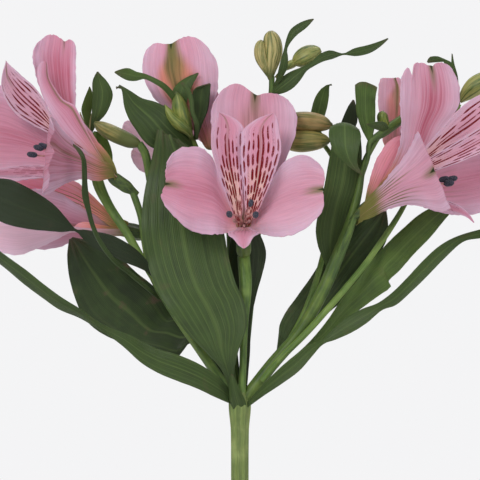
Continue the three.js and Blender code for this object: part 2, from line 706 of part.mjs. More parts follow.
// Buds: [foot, tip, greatest radius, finish]
const buds = {
  bud_top: { foot: [12.8, 8.5, 131], tip: [11.6, 8.5, 148.6], radius: 5.3 },
  bud_small_top: { foot: [20.4, 10.6, 134.6], tip: [32, 11, 141.6], radius: 3.1, stem: [14, 9.4, 126] },
  bud_bronze: { foot: [17.6, 12.8, 112.4], tip: [37.4, 12.6, 112], radius: 3.6, finish: "bronzeBud" },
  bud_olive: { foot: [16.4, 12.8, 105.4], tip: [36.8, 12, 104.4], radius: 3.6 },
  bud_diagonal: { foot: [-40.9, 6.6, 104], tip: [-57.6, 6.4, 111], radius: 3.6, finish: "bronzeBud" },
  bud_middle_left: { foot: [-21.4, 9.5, 110.2], tip: [-24, 8, 119], radius: 3.4 },
  bud_pale_left: { foot: [-60, 12.8, 108.6], tip: [-63.4, 11.4, 116], radius: 1.5 },
  bud_small_right: { foot: [57.2, 4.6, 109], tip: [57.4, 4, 115.6], radius: 2.6 },
  bud_right_edge: { foot: [88.8, 21, 120.2], tip: [99, 20, 130.4], radius: 4.4 },
};

const budForm = [[0, 0.3], [0.12, 0.5], [0.35, 0.92], [0.6, 1], [0.82, 0.74], [0.95, 0.4], [1, 0.18]];

function bud({ foot, tip, radius, stem }) {
  const rows = budForm.map(([share, size]) => [
    ...vector(foot).lerp(vector(tip), share).toArray(),
    radius * size,
  ]);
  const body = stalk(rows, { sides: 7, steps: 6 });
  return stem ? body.add(stalk([[...stem, 0.9], [...foot, 0.9]], { steps: 2 })) : body;
}

function potSolid() {
  const rimFoot = potHeight - potRimHeight;
  const wallAt = (height) =>
    THREE.MathUtils.mapLinear(height, 0, potHeight, potFootRadius, potTopRadius);
  const profile = [
    [0, 0],
    [potFootRadius - 1, 0],
    [potFootRadius, 1],
    [wallAt(rimFoot), rimFoot],
    [potRimRadius - 1, rimFoot],
    [potRimRadius - 0.4, rimFoot + 1],
    [potRimRadius, potHeight - 1.5],
    [potRimRadius - 1.5, potHeight],
    [potTopRadius - potWall + 1.5, potHeight],
    [potTopRadius - potWall, potHeight - 1.5],
    [wallAt(potFloor) - potWall, potFloor],
    [0, potFloor],
  ].map(([radius, height]) => new THREE.Vector2(radius, height));
  const turned = new THREE.LatheGeometry(profile, potSides);
  turned.rotateX(Math.PI / 2);
  let solid = solidOf(turned);
  for (let i = 0; i < drainHoles; i += 1) {
    const angle = (2 * Math.PI * (i + 0.25)) / drainHoles;
    const hole = new THREE.CylinderGeometry(drainHoleRadius, drainHoleRadius, potFloor * 4, 10);
    hole.rotateX(Math.PI / 2);
    hole.translate(Math.cos(angle) * drainHoleCircle, Math.sin(angle) * drainHoleCircle, 0);
    solid = solid.subtract(solidOf(hole));
  }
  return solid;
}

// A number between -1 and 1 that is always the same for the same seed
function scatter(seed) {
  const value = Math.sin(seed * 127.1) * 43758.5453;
  return 2 * (value - Math.floor(value)) - 1;
}

// Soil fills the pot below its rim, crumbled on top, with a plain hole for the stem
function soilSolid() {
  const innerAt = (height) =>
    THREE.MathUtils.mapLinear(height, 0, potHeight, potFootRadius, potTopRadius) - potWall - fit;
  const profile = [
    [0, potFloor + fit],
    [innerAt(potFloor), potFloor + fit],
    [innerAt(soilTop - 3), soilTop - 3],
    [innerAt(soilTop) - 2, soilTop],
    [38, soilTop + 1],
    [26, soilTop + 1.6],
    [14, soilTop + 2],
    [0, soilTop + 2.2],
  ].map(([radius, height]) => new THREE.Vector2(radius, height));
  const turned = mergeVertices(new THREE.LatheGeometry(profile, 24), 1e-4);
  turned.rotateX(Math.PI / 2);
  const place = turned.attributes.position;
  for (let i = 0; i < place.count; i += 1) {
    const up = place.getZ(i);
    const seed = Math.round(place.getX(i) * 10) + Math.round(place.getY(i) * 10) * 0.37;
    if (up > soilTop - 1) place.setZ(i, up + scatter(seed) * soilRoughness);
  }
  const hole = stalk(
    [[0, 0, stemFoot - fit, stemRadius + fit + 0.2], [0, 0, potHeight + 10, stemRadius + fit + 0.2]],
    { sides: stemRibs * 2, steps: 1 },
  );
  return solidOf(turned).subtract(hole);
}

addNode("pot", potSolid(), "pot", potted);
addNode("soil", soilSolid(), "soil", potted);
addNode("stem_and_rays", stemAndRays(), "stem");

const clearance = stemAndRays(fit);
for (const [name, leaf] of Object.entries(leaves)) {
  addNode(name, blade(leaf).subtract(clearance), "leaf");
}
lowerLeaves.forEach((place, i) => {
  addNode(`leaf_lower_${i + 1}`, blade(lowerLeaf(place)).subtract(clearance), "leaf");
});
for (const [name, shape] of Object.entries(buds)) {
  addNode(name, bud(shape).subtract(clearance), shape.finish ?? "bud");
}
for (const [name, bloom] of Object.entries(blooms)) {
  addNode(`bloom_${name}`, perianth(bloom), "petal");
  addNode(`stamens_${name}`, stamens(bloom), "stamen");
}

potted.add(plant);
potted.updateMatrixWorld(true);

export default potted;
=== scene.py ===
"""Dresses the potted Peruvian lily: petals, leaves, buds, stems, clay pot and soil.

Shapes are given in millimetres from the whorl at the top of the main stem: across (+X),
depth (+Y, away from the front) and up. They become metres in the mesh.
"""

import logging
import math
from dataclasses import dataclass
from enum import Enum

import bpy
import numpy as np
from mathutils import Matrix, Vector


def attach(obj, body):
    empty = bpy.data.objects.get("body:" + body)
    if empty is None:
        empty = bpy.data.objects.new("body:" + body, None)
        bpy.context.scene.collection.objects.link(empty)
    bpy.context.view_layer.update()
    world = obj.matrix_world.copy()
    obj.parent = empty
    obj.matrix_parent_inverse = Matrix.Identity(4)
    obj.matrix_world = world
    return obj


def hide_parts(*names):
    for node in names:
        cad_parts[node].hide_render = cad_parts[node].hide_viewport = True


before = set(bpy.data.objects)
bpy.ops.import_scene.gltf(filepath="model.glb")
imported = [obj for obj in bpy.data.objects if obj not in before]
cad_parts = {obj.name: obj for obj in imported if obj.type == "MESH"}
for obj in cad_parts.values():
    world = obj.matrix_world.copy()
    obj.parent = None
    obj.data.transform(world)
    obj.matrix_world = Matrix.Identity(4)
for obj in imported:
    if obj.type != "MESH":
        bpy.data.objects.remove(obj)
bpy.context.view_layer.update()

logging.basicConfig(level=logging.INFO, format="%(message)s")
log = logging.getLogger("potted_peruvian_lily")

MM = 0.001
WHORL_HEIGHT = 220.0
POT_HEIGHT = 112.0
POT_FOOT_RADIUS = 42.0
POT_TOP_RADIUS = 56.0
POT_RIM_RADIUS = 61.0
POT_RIM_HEIGHT = 24.0
POT_WALL = 5.0
POT_FLOOR = 8.0
DRAIN_HOLE_RADIUS = 4.5
DRAIN_HOLE_CIRCLE = 26.0
DRAIN_HOLES = 3
SOIL_TOP = 98.0
FIT_GAP = 0.35
SEAM_GAP = 0.005
LEAST_STEP = 0.3
LEAST_RADIUS = 0.05

Row = tuple[float, ...]
Place = tuple[float, float, float]
Tint = tuple[float, float, float, float]
Piece = bpy.types.Object
Material = bpy.types.Material
Socket = bpy.types.NodeSocket
Value = float | Socket

TO_FRONT: Place = (0.0, -1.0, 0.0)
TO_SKY: Place = (0.0, 0.0, 1.0)
NO_TIP: Place = (0.0, 0.0, 0.0)


class Slot(Enum):
    """Material slots of the part."""

    POT = "pot"
    SOIL = "soil"
    STEM = "stem"
    LEAF = "leaf"
    PETAL = "petal"
    STAMEN = "stamen"
    BUD = "bud"
    BRONZE_BUD = "bronze_bud"


class Tepal(Enum):
    """Places of the six petals round a bloom, as degrees seen from in front of it."""

    OUTER_TOP = 90
    OUTER_LEFT = 210
    OUTER_RIGHT = 330
    INNER_RIGHT = 30
    INNER_LEFT = 150
    INNER_LOW = 270

    @property
    def outer(self) -> bool:
        """Whether it is one of the three broad outer petals."""
        return self.name.startswith("OUTER")


def deselect_all() -> None:
    """Clears the selection, which the operators act on."""
    bpy.ops.object.select_all(action="DESELECT")


def select_only(*pieces: Piece) -> None:
    """Selects the pieces and makes the first one active."""
    deselect_all()
    for piece in pieces:
        piece.select_set(True)
    bpy.context.view_layer.objects.active = pieces[0]


def delete(piece: Piece) -> None:
    """Deletes a helper piece."""
    select_only(piece)
    bpy.ops.object.delete()


def smooth(piece: Piece, degrees: float = 60.0) -> Piece:
    """Shades a piece smooth except over edges sharper than the angle."""
    select_only(piece)
    bpy.ops.object.shade_smooth_by_angle(angle=math.radians(degrees))
    return piece


def join(name: str, pieces: list[Piece], degrees: float = 60.0) -> Piece:
    """Joins pieces into one and shades it smooth.

    Args:
        name: The joined piece's name.
        pieces: The pieces, of which the first one is kept.
        degrees: The angle above which an edge stays sharp.

    Returns:
        The joined piece.
    """
    select_only(*pieces)
    if len(pieces) > 1:
        bpy.ops.object.join()
    joined = bpy.context.view_layer.objects.active
    joined.name = name
    joined.data.name = name
    return smooth(joined, degrees)


def apply_modifier(piece: Piece, kind: str, **settings: object) -> None:
    """Adds a modifier with its settings and applies it."""
    select_only(piece)
    modifier = piece.modifiers.new(kind.lower(), kind)
    for key, value in settings.items():
        setattr(modifier, key, value)
    bpy.ops.object.modifier_apply(modifier=modifier.name)


def mark(piece: Piece, **values: float) -> Piece:
    """Gives every point of a piece the same value of each named attribute."""
    count = len(piece.data.vertices)
    for name, value in values.items():
        attribute = piece.data.attributes.new(name, "FLOAT", "POINT")
        attribute.data.foreach_set("value", np.full(count, value, dtype=np.float32))
    return piece


def corners_of(piece: Piece) -> np.ndarray:
    """The places of a piece's vertices, one row each."""
    places = np.empty(len(piece.data.vertices) * 3)
    piece.data.vertices.foreach_get("co", places)
    return places.reshape(-1, 3)


def grid_piece(name: str, across: int, along: int) -> tuple[Piece, np.ndarray, np.ndarray]:
    """Adds a grid that is to be shaped.

    Args:
        name: The piece's name.
        across: Cells across.
        along: Cells along.

    Returns:
        The piece, and each vertex's column and row.
    """
    deselect_all()
    bpy.ops.mesh.primitive_grid_add(x_subdivisions=across, y_subdivisions=along, size=2)
    piece = bpy.context.object
    piece.name = name
    piece.data.name = name
    place = corners_of(piece)
    column = np.rint((place[:, 0] + 1) / 2 * across).astype(int)
    row = np.rint((place[:, 1] + 1) / 2 * along).astype(int)
    return piece, column, row


def shape(piece: Piece, points: np.ndarray) -> None:
    """Moves a piece's vertices to points in millimetres from the whorl."""
    place = (points + np.array([0.0, 0.0, WHORL_HEIGHT])) * MM
    piece.data.vertices.foreach_set("co", place.ravel())
    piece.data.update()


def close_seams(piece: Piece) -> None:
    """Merges doubled vertices in edit mode and turns the faces outwards."""
    select_only(piece)
    bpy.ops.object.mode_set(mode="EDIT")
    bpy.ops.mesh.select_all(action="SELECT")
    bpy.ops.mesh.remove_doubles(threshold=SEAM_GAP * MM)
    bpy.ops.mesh.normals_make_consistent(inside=False)
    bpy.ops.object.mode_set(mode="OBJECT")


def unit(vectors: np.ndarray) -> np.ndarray:
    """Vectors at length one."""
    length = np.linalg.norm(vectors, axis=-1, keepdims=True)
    return vectors / np.maximum(length, 1e-9)


def path_length(centre: np.ndarray) -> float:
    """The length of a path through points."""
    return float(np.linalg.norm(np.diff(centre, axis=0), axis=1).sum())


def through_rows(rows: np.ndarray, centre: np.ndarray, count: int) -> np.ndarray:
    """Values at even steps along a smooth curve through rows.

    Args:
        rows: One row of values per station.
        centre: The station's place, which gives the distance between rows.
        count: How many steps to take.

    Returns:
        count + 1 rows of values.
    """
    gaps = np.maximum(np.linalg.norm(np.diff(centre, axis=0), axis=1), LEAST_STEP)
    at = np.concatenate([[0.0], np.cumsum(gaps)])
    slope = np.empty_like(rows)
    slope[1:-1] = (rows[2:] - rows[:-2]) / (at[2:] - at[:-2])[:, None]
    slope[0] = (rows[1] - rows[0]) / gaps[0]
    slope[-1] = (rows[-1] - rows[-2]) / gaps[-1]
    wanted = np.linspace(0.0, at[-1], count + 1)
    i = np.clip(np.searchsorted(at, wanted, side="right") - 1, 0, len(rows) - 2)
    gap = gaps[i][:, None]
    t = (wanted - at[i])[:, None] / gap
    return (
        (2 * t**3 - 3 * t**2 + 1) * rows[i]
        + (t**3 - 2 * t**2 + t) * gap * slope[i]
        + (3 * t**2 - 2 * t**3) * rows[i + 1]
        + (t**3 - t**2) * gap * slope[i + 1]
    )


def step_up(value: np.ndarray, low: float, high: float) -> np.ndarray:
    """A smooth rise from 0 at low to 1 at high."""
    t = np.clip((value - low) / (high - low), 0.0, 1.0)
    return t * t * (3 - 2 * t)


def bell(value: np.ndarray, middle: float, width: float) -> np.ndarray:
    """A bell-shaped rise to 1 at the middle."""
    return np.exp(-(((value - middle) / width) ** 2))


@dataclass
class Blade:
    """A thin petal or leaf, ruled from one edge to the other at stations along it.

    Each row is (x, y, up) of one edge, (x, y, up) of the other, then how far the middle
    bulges the way the blade faces, how far it leans along the blade as a share of half the
    width, and how far it arches up. Missing values are zero. The tip is how far the near
    lobe, the notch and the far lobe reach past the last row, and the notch is at the parting.
    A tear is its place across, its depth and its width. Waves, pleats and teeth are in
    millimetres, the zones of the blade in shares of its length.
    """

    name: str
    rows: tuple[Row, ...]
    facing: Place = TO_FRONT
    tip: Place = NO_TIP
    parting: float = 0.0
    point: float = 0.0
    tears: tuple[Place, ...] = ()
    wave: float = 0.0
    waves: float = 3.0
    tooth: float = 0.08
    pleat: float = 0.0
    pleats: int = 9
    cells: int = 14
    spacing: float = 1.5
    thickness: float = 0.45
    seed: int = 1
    full_width: float = 6.0
    point_width: float = 0.05
    lobe_zone: float = 0.72
    ruffle_zone: float = 0.8
    end_row: float = 0.985

    def surface(self) -> np.ndarray:
        """The blade's middle sheet.

        Returns:
            Points as rows along by columns across by 3.
        """
        rows = np.zeros((len(self.rows), 9))
        for i, row in enumerate(self.rows):
            rows[i, : len(row)] = row
        centre = (rows[:, 0:3] + rows[:, 3:6]) / 2
        steps = max(10, int(path_length(centre) / self.spacing))
        rows = through_rows(rows, centre, steps)
        first, second = rows[:, None, 0:3], rows[:, None, 3:6]
        bulge, lean, arch = rows[:, None, 6:7], rows[:, None, 7:8], rows[:, None, 8:9]
        u = np.linspace(-1.0, 1.0, self.cells + 1)[None, :, None]
        v = np.linspace(0.0, 1.0, steps + 1)[:, None, None]
        points = first * (1 - u) / 2 + second * (1 + u) / 2
        along = unit(np.gradient((first + second)[:, 0] / 2, axis=0))[:, None, :]
        side = second - first
        half = np.linalg.norm(side, axis=-1, keepdims=True) / 2
        side = unit(side)
        out = np.cross(side, along)
        facing = unit(np.array(self.facing))
        out = unit(out * np.where((out * facing).sum(-1, keepdims=True) < 0, -1.0, 1.0))
        crown = 1 - u**2
        points = points + facing * bulge * crown + along * lean * half * crown
        points = points + np.array(TO_SKY) * arch * crown
        size = np.minimum(1.0, half / self.full_width)
        chance = np.random.default_rng(self.seed)
        phase = chance.uniform(0, 2 * np.pi, 4)
        points = points + along * self.tip_reach(u) * step_up(v, self.lobe_zone, 1.0)
        points = points + out * self.relief(u, v, phase) * size
        nick = chance.normal(0, self.tooth, (steps + 1, self.cells + 1, 1)) * size
        points = points + side * np.sign(u) * nick * np.abs(u) ** 24
        return points + along * np.roll(nick, 3, axis=1) * step_up(v, self.end_row, 1.0)

    def tip_reach(self, u: np.ndarray) -> np.ndarray:
        """How far the end reaches at each place across: two lobes, the notch between them and tears."""
        near, notch, far = self.tip
        lobe = np.where(u < self.parting, near, far)
        off = np.maximum((self.parting - u) / (1 + self.parting), (u - self.parting) / (1 - self.parting))
        hill = np.sin(np.pi * np.clip(off, 0.0, 1.0))
        reach = np.where(off < 0.5, notch + (lobe - notch) * hill**0.9, lobe * hill**0.8)
        reach = reach + self.point * bell(u, self.parting, self.point_width)
        for place, deep, wide in self.tears:
            reach = reach - deep * bell(u, place, wide)
        return reach

    def relief(self, u: np.ndarray, v: np.ndarray, phase: np.ndarray) -> np.ndarray:
        """How far ruffled edges, a ruffled end and pleats stand out.

        Args:
            u: Place across, from -1 to 1.
            v: Place along, from 0 to 1.
            phase: Four angles that shift the ruffles.

        Returns:
            A height for each point.
        """
        ripple = np.sin(self.waves * 2 * np.pi * v + phase[0] + 1.3 * u)
        ripple = ripple + 0.45 * np.sin(self.waves * 4.6 * np.pi * v + phase[1] * np.sign(u))
        edge = ripple * self.wave * np.abs(u) ** 2.5 * step_up(v, 0.05, 0.3)
        ruffle = np.sin(9 * u + phase[2]) + 0.6 * np.sin(17 * u + phase[3])
        end = ruffle * self.wave * 0.45 * step_up(v, self.ruffle_zone, 1.0)
        fold = np.cos(self.pleats * np.pi * u) * self.pleat
        return edge + end + fold * step_up(v, 0.02, 0.2) * (1 - step_up(v, 0.75, 1.0))

    def build(self) -> Piece:
        """Shapes a grid to the blade and gives it its thickness."""
        points = self.surface()
        piece, column, row = grid_piece(self.name, self.cells, points.shape[0] - 1)
        shape(piece, points[row, column])
        apply_modifier(piece, "SOLIDIFY", thickness=self.thickness * MM, offset=0.0)
        return piece


@dataclass
class Tube:
    """A round or ribbed body through (x, y, up, radius) rows, closed at both ends."""

    name: str
    rows: tuple[Row, ...]
    around: int = 14
    spacing: float = 1.6
    ribs: int = 0
    depth: float = 0.0
    twist: float = 0.0
    flat: float = 1.0
    start: Place = (1.0, 0.0, 0.01)

    def build(self) -> Piece:
        """Wraps a grid round the rows, merges its seam and closes its ends."""
        rows = np.array(self.rows, dtype=float)
        steps = max(6, int(path_length(rows[:, :3]) / self.spacing))
        rows = through_rows(rows, rows[:, :3], steps)
        centre = rows[:, :3]
        radius = np.maximum(rows[:, 3], LEAST_RADIUS)
        along = unit(np.gradient(centre, axis=0))
        sides = np.empty_like(centre)
        side = np.array(self.start)
        for i, way in enumerate(along):
            other = unit(np.cross(way, side))
            side = unit(np.cross(other, way))
            sides[i] = side
        others = np.cross(along, sides)
        angle = np.linspace(0.0, 2 * np.pi, self.around + 1)[None, :]
        turn = np.linspace(0.0, math.radians(self.twist), steps + 1)[:, None]
        size = radius[:, None] * (1 - self.depth * (0.5 + 0.5 * np.cos(self.ribs * angle + turn)))
        wide = (size * np.cos(angle))[..., None] * sides[:, None, :]
        deep = (size * self.flat * np.sin(angle))[..., None] * others[:, None, :]
        rings = centre[:, None, :] + wide + deep
        rings[:, -1] = rings[:, 0]
        ends = [np.repeat(centre[i, None, None, :], self.around + 1, axis=1) for i in (0, -1)]
        points = np.concatenate([ends[0], rings, ends[1]])
        piece, column, row = grid_piece(self.name, self.around, steps + 2)
        shape(piece, points[row, column])
        close_seams(piece)
        return piece


def tint(red: int, green: int, blue: int) -> Tint:
    """A colour as a screen shows it, made linear for a shader."""
    channels = [c / 255 for c in (red, green, blue)]
    linear = [c / 12.92 if c <= 0.04045 else ((c + 0.055) / 1.055) ** 2.4 for c in channels]
    return (linear[0], linear[1], linear[2], 1.0)


@dataclass
class Nodes:
    """The nodes of one material or group, added and joined in few words."""

    tree: bpy.types.NodeTree

    def add(self, kind: str, **settings: object) -> bpy.types.Node:
        """A new node with its settings."""
        node = self.tree.nodes.new("ShaderNode" + kind)
        for key, value in settings.items():
            setattr(node, key, value)
        return node

    def put(self, socket: Socket, value: object) -> None:
        """Joins a socket to another, or sets its own value."""
        if isinstance(value, bpy.types.NodeSocket):
            self.tree.links.new(value, socket)
        else:
            socket.default_value = value

    def math(self, operation: str, *values: Value, clamp: bool = False) -> Socket:
        """A math node's result."""
        node = self.add("Math", operation=operation, use_clamp=clamp)
        for socket, value in zip(node.inputs, values):
            self.put(socket, value)
        return node.outputs[0]

    def times(self, *values: Value) -> Value:
        """All the values multiplied."""
        result = values[0]
        for value in values[1:]:
            result = self.math("MULTIPLY", result, value)
        return result

    def less(self, value: Value, other: Value) -> Socket:
        """The value less the other."""
        return self.math("SUBTRACT", value, other)

    def scaled(self, value: Value, factor: Value, plus: Value) -> Socket:
        """The value times the factor, plus a third one."""
        return self.math("MULTIPLY_ADD", value, factor, plus)

    def stray(self, value: Value, noise: Value, reach: Value) -> Socket:
        """The value, moved by noise up to half the reach either way."""
        return self.scaled(self.less(noise, 0.5), reach, value)

    def from_half(self, value: Value) -> Socket:
        """How far a value lies from one half."""
        return self.math("ABSOLUTE", self.less(value, 0.5))

    def rise(self, value: Value, low: float, high: float, top: float = 1.0) -> Socket:
        """A smooth rise from 0 at low to top at high, or a fall where low is the greater."""
        node = self.add("MapRange", interpolation_type="SMOOTHSTEP")
        for socket, number in zip(node.inputs, (value, low, high, 0.0, top)):
            self.put(socket, number)
        return node.outputs[0]

    def mix(self, share: Value, first: object, second: object, blend: str = "MIX") -> Socket:
        """Two colours mixed."""
        node = self.add("Mix", data_type="RGBA", blend_type=blend)
        for place, value in ((0, share), (6, first), (7, second)):
            self.put(node.inputs[place], value)
        return node.outputs[2]

    def vector(self, *values: Value) -> Socket:
        """Three values as one vector."""
        node = self.add("CombineXYZ")
        for socket, value in zip(node.inputs, values):
            self.put(socket, value)
        return node.outputs[0]

    def place(self, kind: str = "Object") -> Socket:
        """Object coordinates, or the piece's own UV map."""
        return self.add("TexCoord").outputs[kind]

    def parts(self, vector: Socket) -> tuple[Socket, Socket, Socket]:
        """The three values of a vector: of the UV map, across and along the piece from 0 to 1."""
        split = self.add("SeparateXYZ")
        self.put(split.inputs[0], vector)
        return tuple(split.outputs)

    def noise(self, vector: Socket, scale: Value, detail: float = 3.0, rough: float = 0.55) -> Socket:
        """Cloudy noise, about one half on average."""
        node = self.add("TexNoise")
        for name, value in (("Vector", vector), ("Scale", scale), ("Detail", detail), ("Roughness", rough)):
            self.put(node.inputs[name], value)
        return node.outputs[0]

    def drawn_noise(
        self, wide: Value, long: Value, seed: Value, detail: float = 2.0, rough: float = 0.55
    ) -> Socket:
        """Noise with its own scale across the piece and along it."""
        across, along, _ = self.parts(self.place("UV"))
        spread = self.vector(self.times(across, wide), self.times(along, long), seed)
        return self.noise(spread, 1.0, detail, rough)

    def chance(self, dimensions: str, *values: Value) -> Socket:
        """One random number for each set of whole values."""
        node = self.add("TexWhiteNoise", noise_dimensions=dimensions)
        self.put(node.inputs["Vector"], self.vector(*values))
        return node.outputs["Value"]

    def attribute(self, name: str) -> Socket:
        """A value that the piece holds at each point."""
        return self.add("Attribute", attribute_name=name).outputs["Fac"]

    def group(self, tree: bpy.types.NodeTree, **values: Value) -> tuple[Socket, ...]:
        """What a group gives for its own values."""
        node = self.add("Group", node_tree=tree)
        for name, value in values.items():
            self.put(node.inputs[name.capitalize()], value)
        return tuple(node.outputs)


Sockets = dict[str, Socket]


def new_group(name: str, takes: dict[str, float], gives: tuple[str, ...]) -> tuple[Nodes, Sockets, Sockets]:
    """Starts a shader node group of plain numbers.

    Args:
        name: The group's name.
        takes: Each number that it takes, with its usual value.
        gives: Each number that it gives.

    Returns:
        The group's nodes, the sockets of what it takes and the sockets of what it gives.
    """
    tree = bpy.data.node_groups.new(name, "ShaderNodeTree")
    for label, value in takes.items():
        tree.interface.new_socket(label, in_out="INPUT", socket_type="NodeSocketFloat").default_value = value
    for label in gives:
        tree.interface.new_socket(label, in_out="OUTPUT", socket_type="NodeSocketFloat")
    start, end = tree.nodes.new("NodeGroupInput"), tree.nodes.new("NodeGroupOutput")
    return Nodes(tree), {key: start.outputs[key] for key in takes}, {key: end.inputs[key] for key in gives}


def veins_group() -> bpy.types.NodeTree:
    """Fine lines that run along a blade, with thickness and wander."""
    usual = {"Count": 12.0, "Width": 0.18, "Wander": 0.2, "Seed": 0.0}
    nodes, given, out = new_group("parallel_veins", usual, ("Lines", "Fade"))
    across = nodes.parts(nodes.place("UV"))[0]
    drift = nodes.drawn_noise(3.0, 2.2, given["Seed"])
    wave = nodes.math("FRACT", nodes.times(nodes.stray(across, drift, given["Wander"]), given["Count"]))
    off = nodes.math("DIVIDE", nodes.from_half(wave), given["Width"])
    lines = nodes.math("SUBTRACT", 1.0, off, clamp=True)
    nodes.put(out["Lines"], nodes.math("SMOOTH_MIN", lines, 1.0, 0.1))
    patchy = nodes.drawn_noise(7.0, 3.0, nodes.math("ADD", given["Seed"], 4.0))
    nodes.put(out["Fade"], nodes.rise(patchy, 0.3, 0.65))
    return nodes.tree


def streaks_group() -> bpy.types.NodeTree:
    """Noise drawn out along a piece, as plant fibres are."""
    usual = {"Count": 24.0, "Length": 1.6, "Seed": 0.0}
    nodes, given, out = new_group("drawn_out_streaks", usual, ("Streaks",))
    nodes.put(out["Streaks"], nodes.drawn_noise(given["Count"], given["Length"], given["Seed"], 3.0, 0.6))
    return nodes.tree


def mottle_group() -> bpy.types.NodeTree:
    """Soft blotches and fine grain over a piece, in two sizes per metre."""
    usual = {"Blotches": 60.0, "Grains": 900.0}
    nodes, given, out = new_group("mottle_and_grain", usual, ("Blotch", "Grain"))
    nodes.put(out["Blotch"], nodes.noise(nodes.place(), given["Blotches"], 3.0, 0.5))
    nodes.put(out["Grain"], nodes.noise(nodes.place(), given["Grains"], 2.0, 0.5))
    return nodes.tree


@dataclass(frozen=True)
class Effects:
    """The shader groups that several finishes use."""

    veins: bpy.types.NodeTree
    streaks: bpy.types.NodeTree
    mottle: bpy.types.NodeTree


class Coat(Nodes):
    """A material whose colour is laid on in layers, each by its own share."""

    def __init__(self, name: str, effects: Effects, **fixed: object) -> None:
        """Starts a node material.

        Args:
            name: The material's name.
            effects: The shared shader groups.
            fixed: Values of the Principled shader that are the same all over, spaces as underlines.
        """
        self.material = bpy.data.materials.new(name)
        self.material.use_nodes = True
        super().__init__(self.material.node_tree)
        self.effects = effects
        self.shader = self.tree.nodes["Principled BSDF"]
        for key, value in fixed.items():
            self.shader.inputs[key.replace("_", " ")].default_value = value
        self.colour = None

    def start(self, share: Value, first: Tint, second: Tint) -> None:
        """Lays the ground: two colours mixed."""
        self.colour = self.mix(share, first, second)

    def over(self, colour: Tint | Socket, *shares: Value) -> None:
        """Lays a colour over what is there, as far as all its shares go together."""
        self.colour = self.mix(self.times(*shares), self.colour, colour)

    def streaks(self, count: float, length: float) -> Socket:
        """Fibres along the piece, by the piece's own seed."""
        return self.group(self.effects.streaks, count=count, length=length, seed=self.attribute("seed"))[0]

    def veins(self, count: Value, width: float, wander: float) -> tuple[Socket, ...]:
        """Lines along the piece, by its own seed, and where they fade."""
        seed = self.attribute("seed")
        return self.group(self.effects.veins, count=count, width=width, wander=wander, seed=seed)

    def mottle(self, blotches: float, grains: float) -> tuple[Socket, ...]:
        """Blotches and grain, each by its number per metre."""
        return self.group(self.effects.mottle, blotches=blotches, grains=grains)

    def finish(
        self,
        roughness: Socket,
        height: Socket | None = None,
        strength: float = 0.5,
        distance: float = 0.0004,
    ) -> Material:
        """Gives the shader the colour, the roughness and the relief.

        Args:
            roughness: The roughness at each point.
            height: The relief at each point, about from 0 to 1, if there is any.
            strength: How much of the relief shows.
            distance: The relief's height in metres.

        Returns:
            The finished material.
        """
        self.put(self.shader.inputs["Base Color"], self.colour)
        self.put(self.shader.inputs["Roughness"], roughness)
        if height is not None:
            bump = self.add("Bump")
            for name, value in (("Height", height), ("Strength", strength), ("Distance", distance)):
                self.put(bump.inputs[name], value)
            self.put(self.shader.inputs["Normal"], bump.outputs["Normal"])
        return self.material


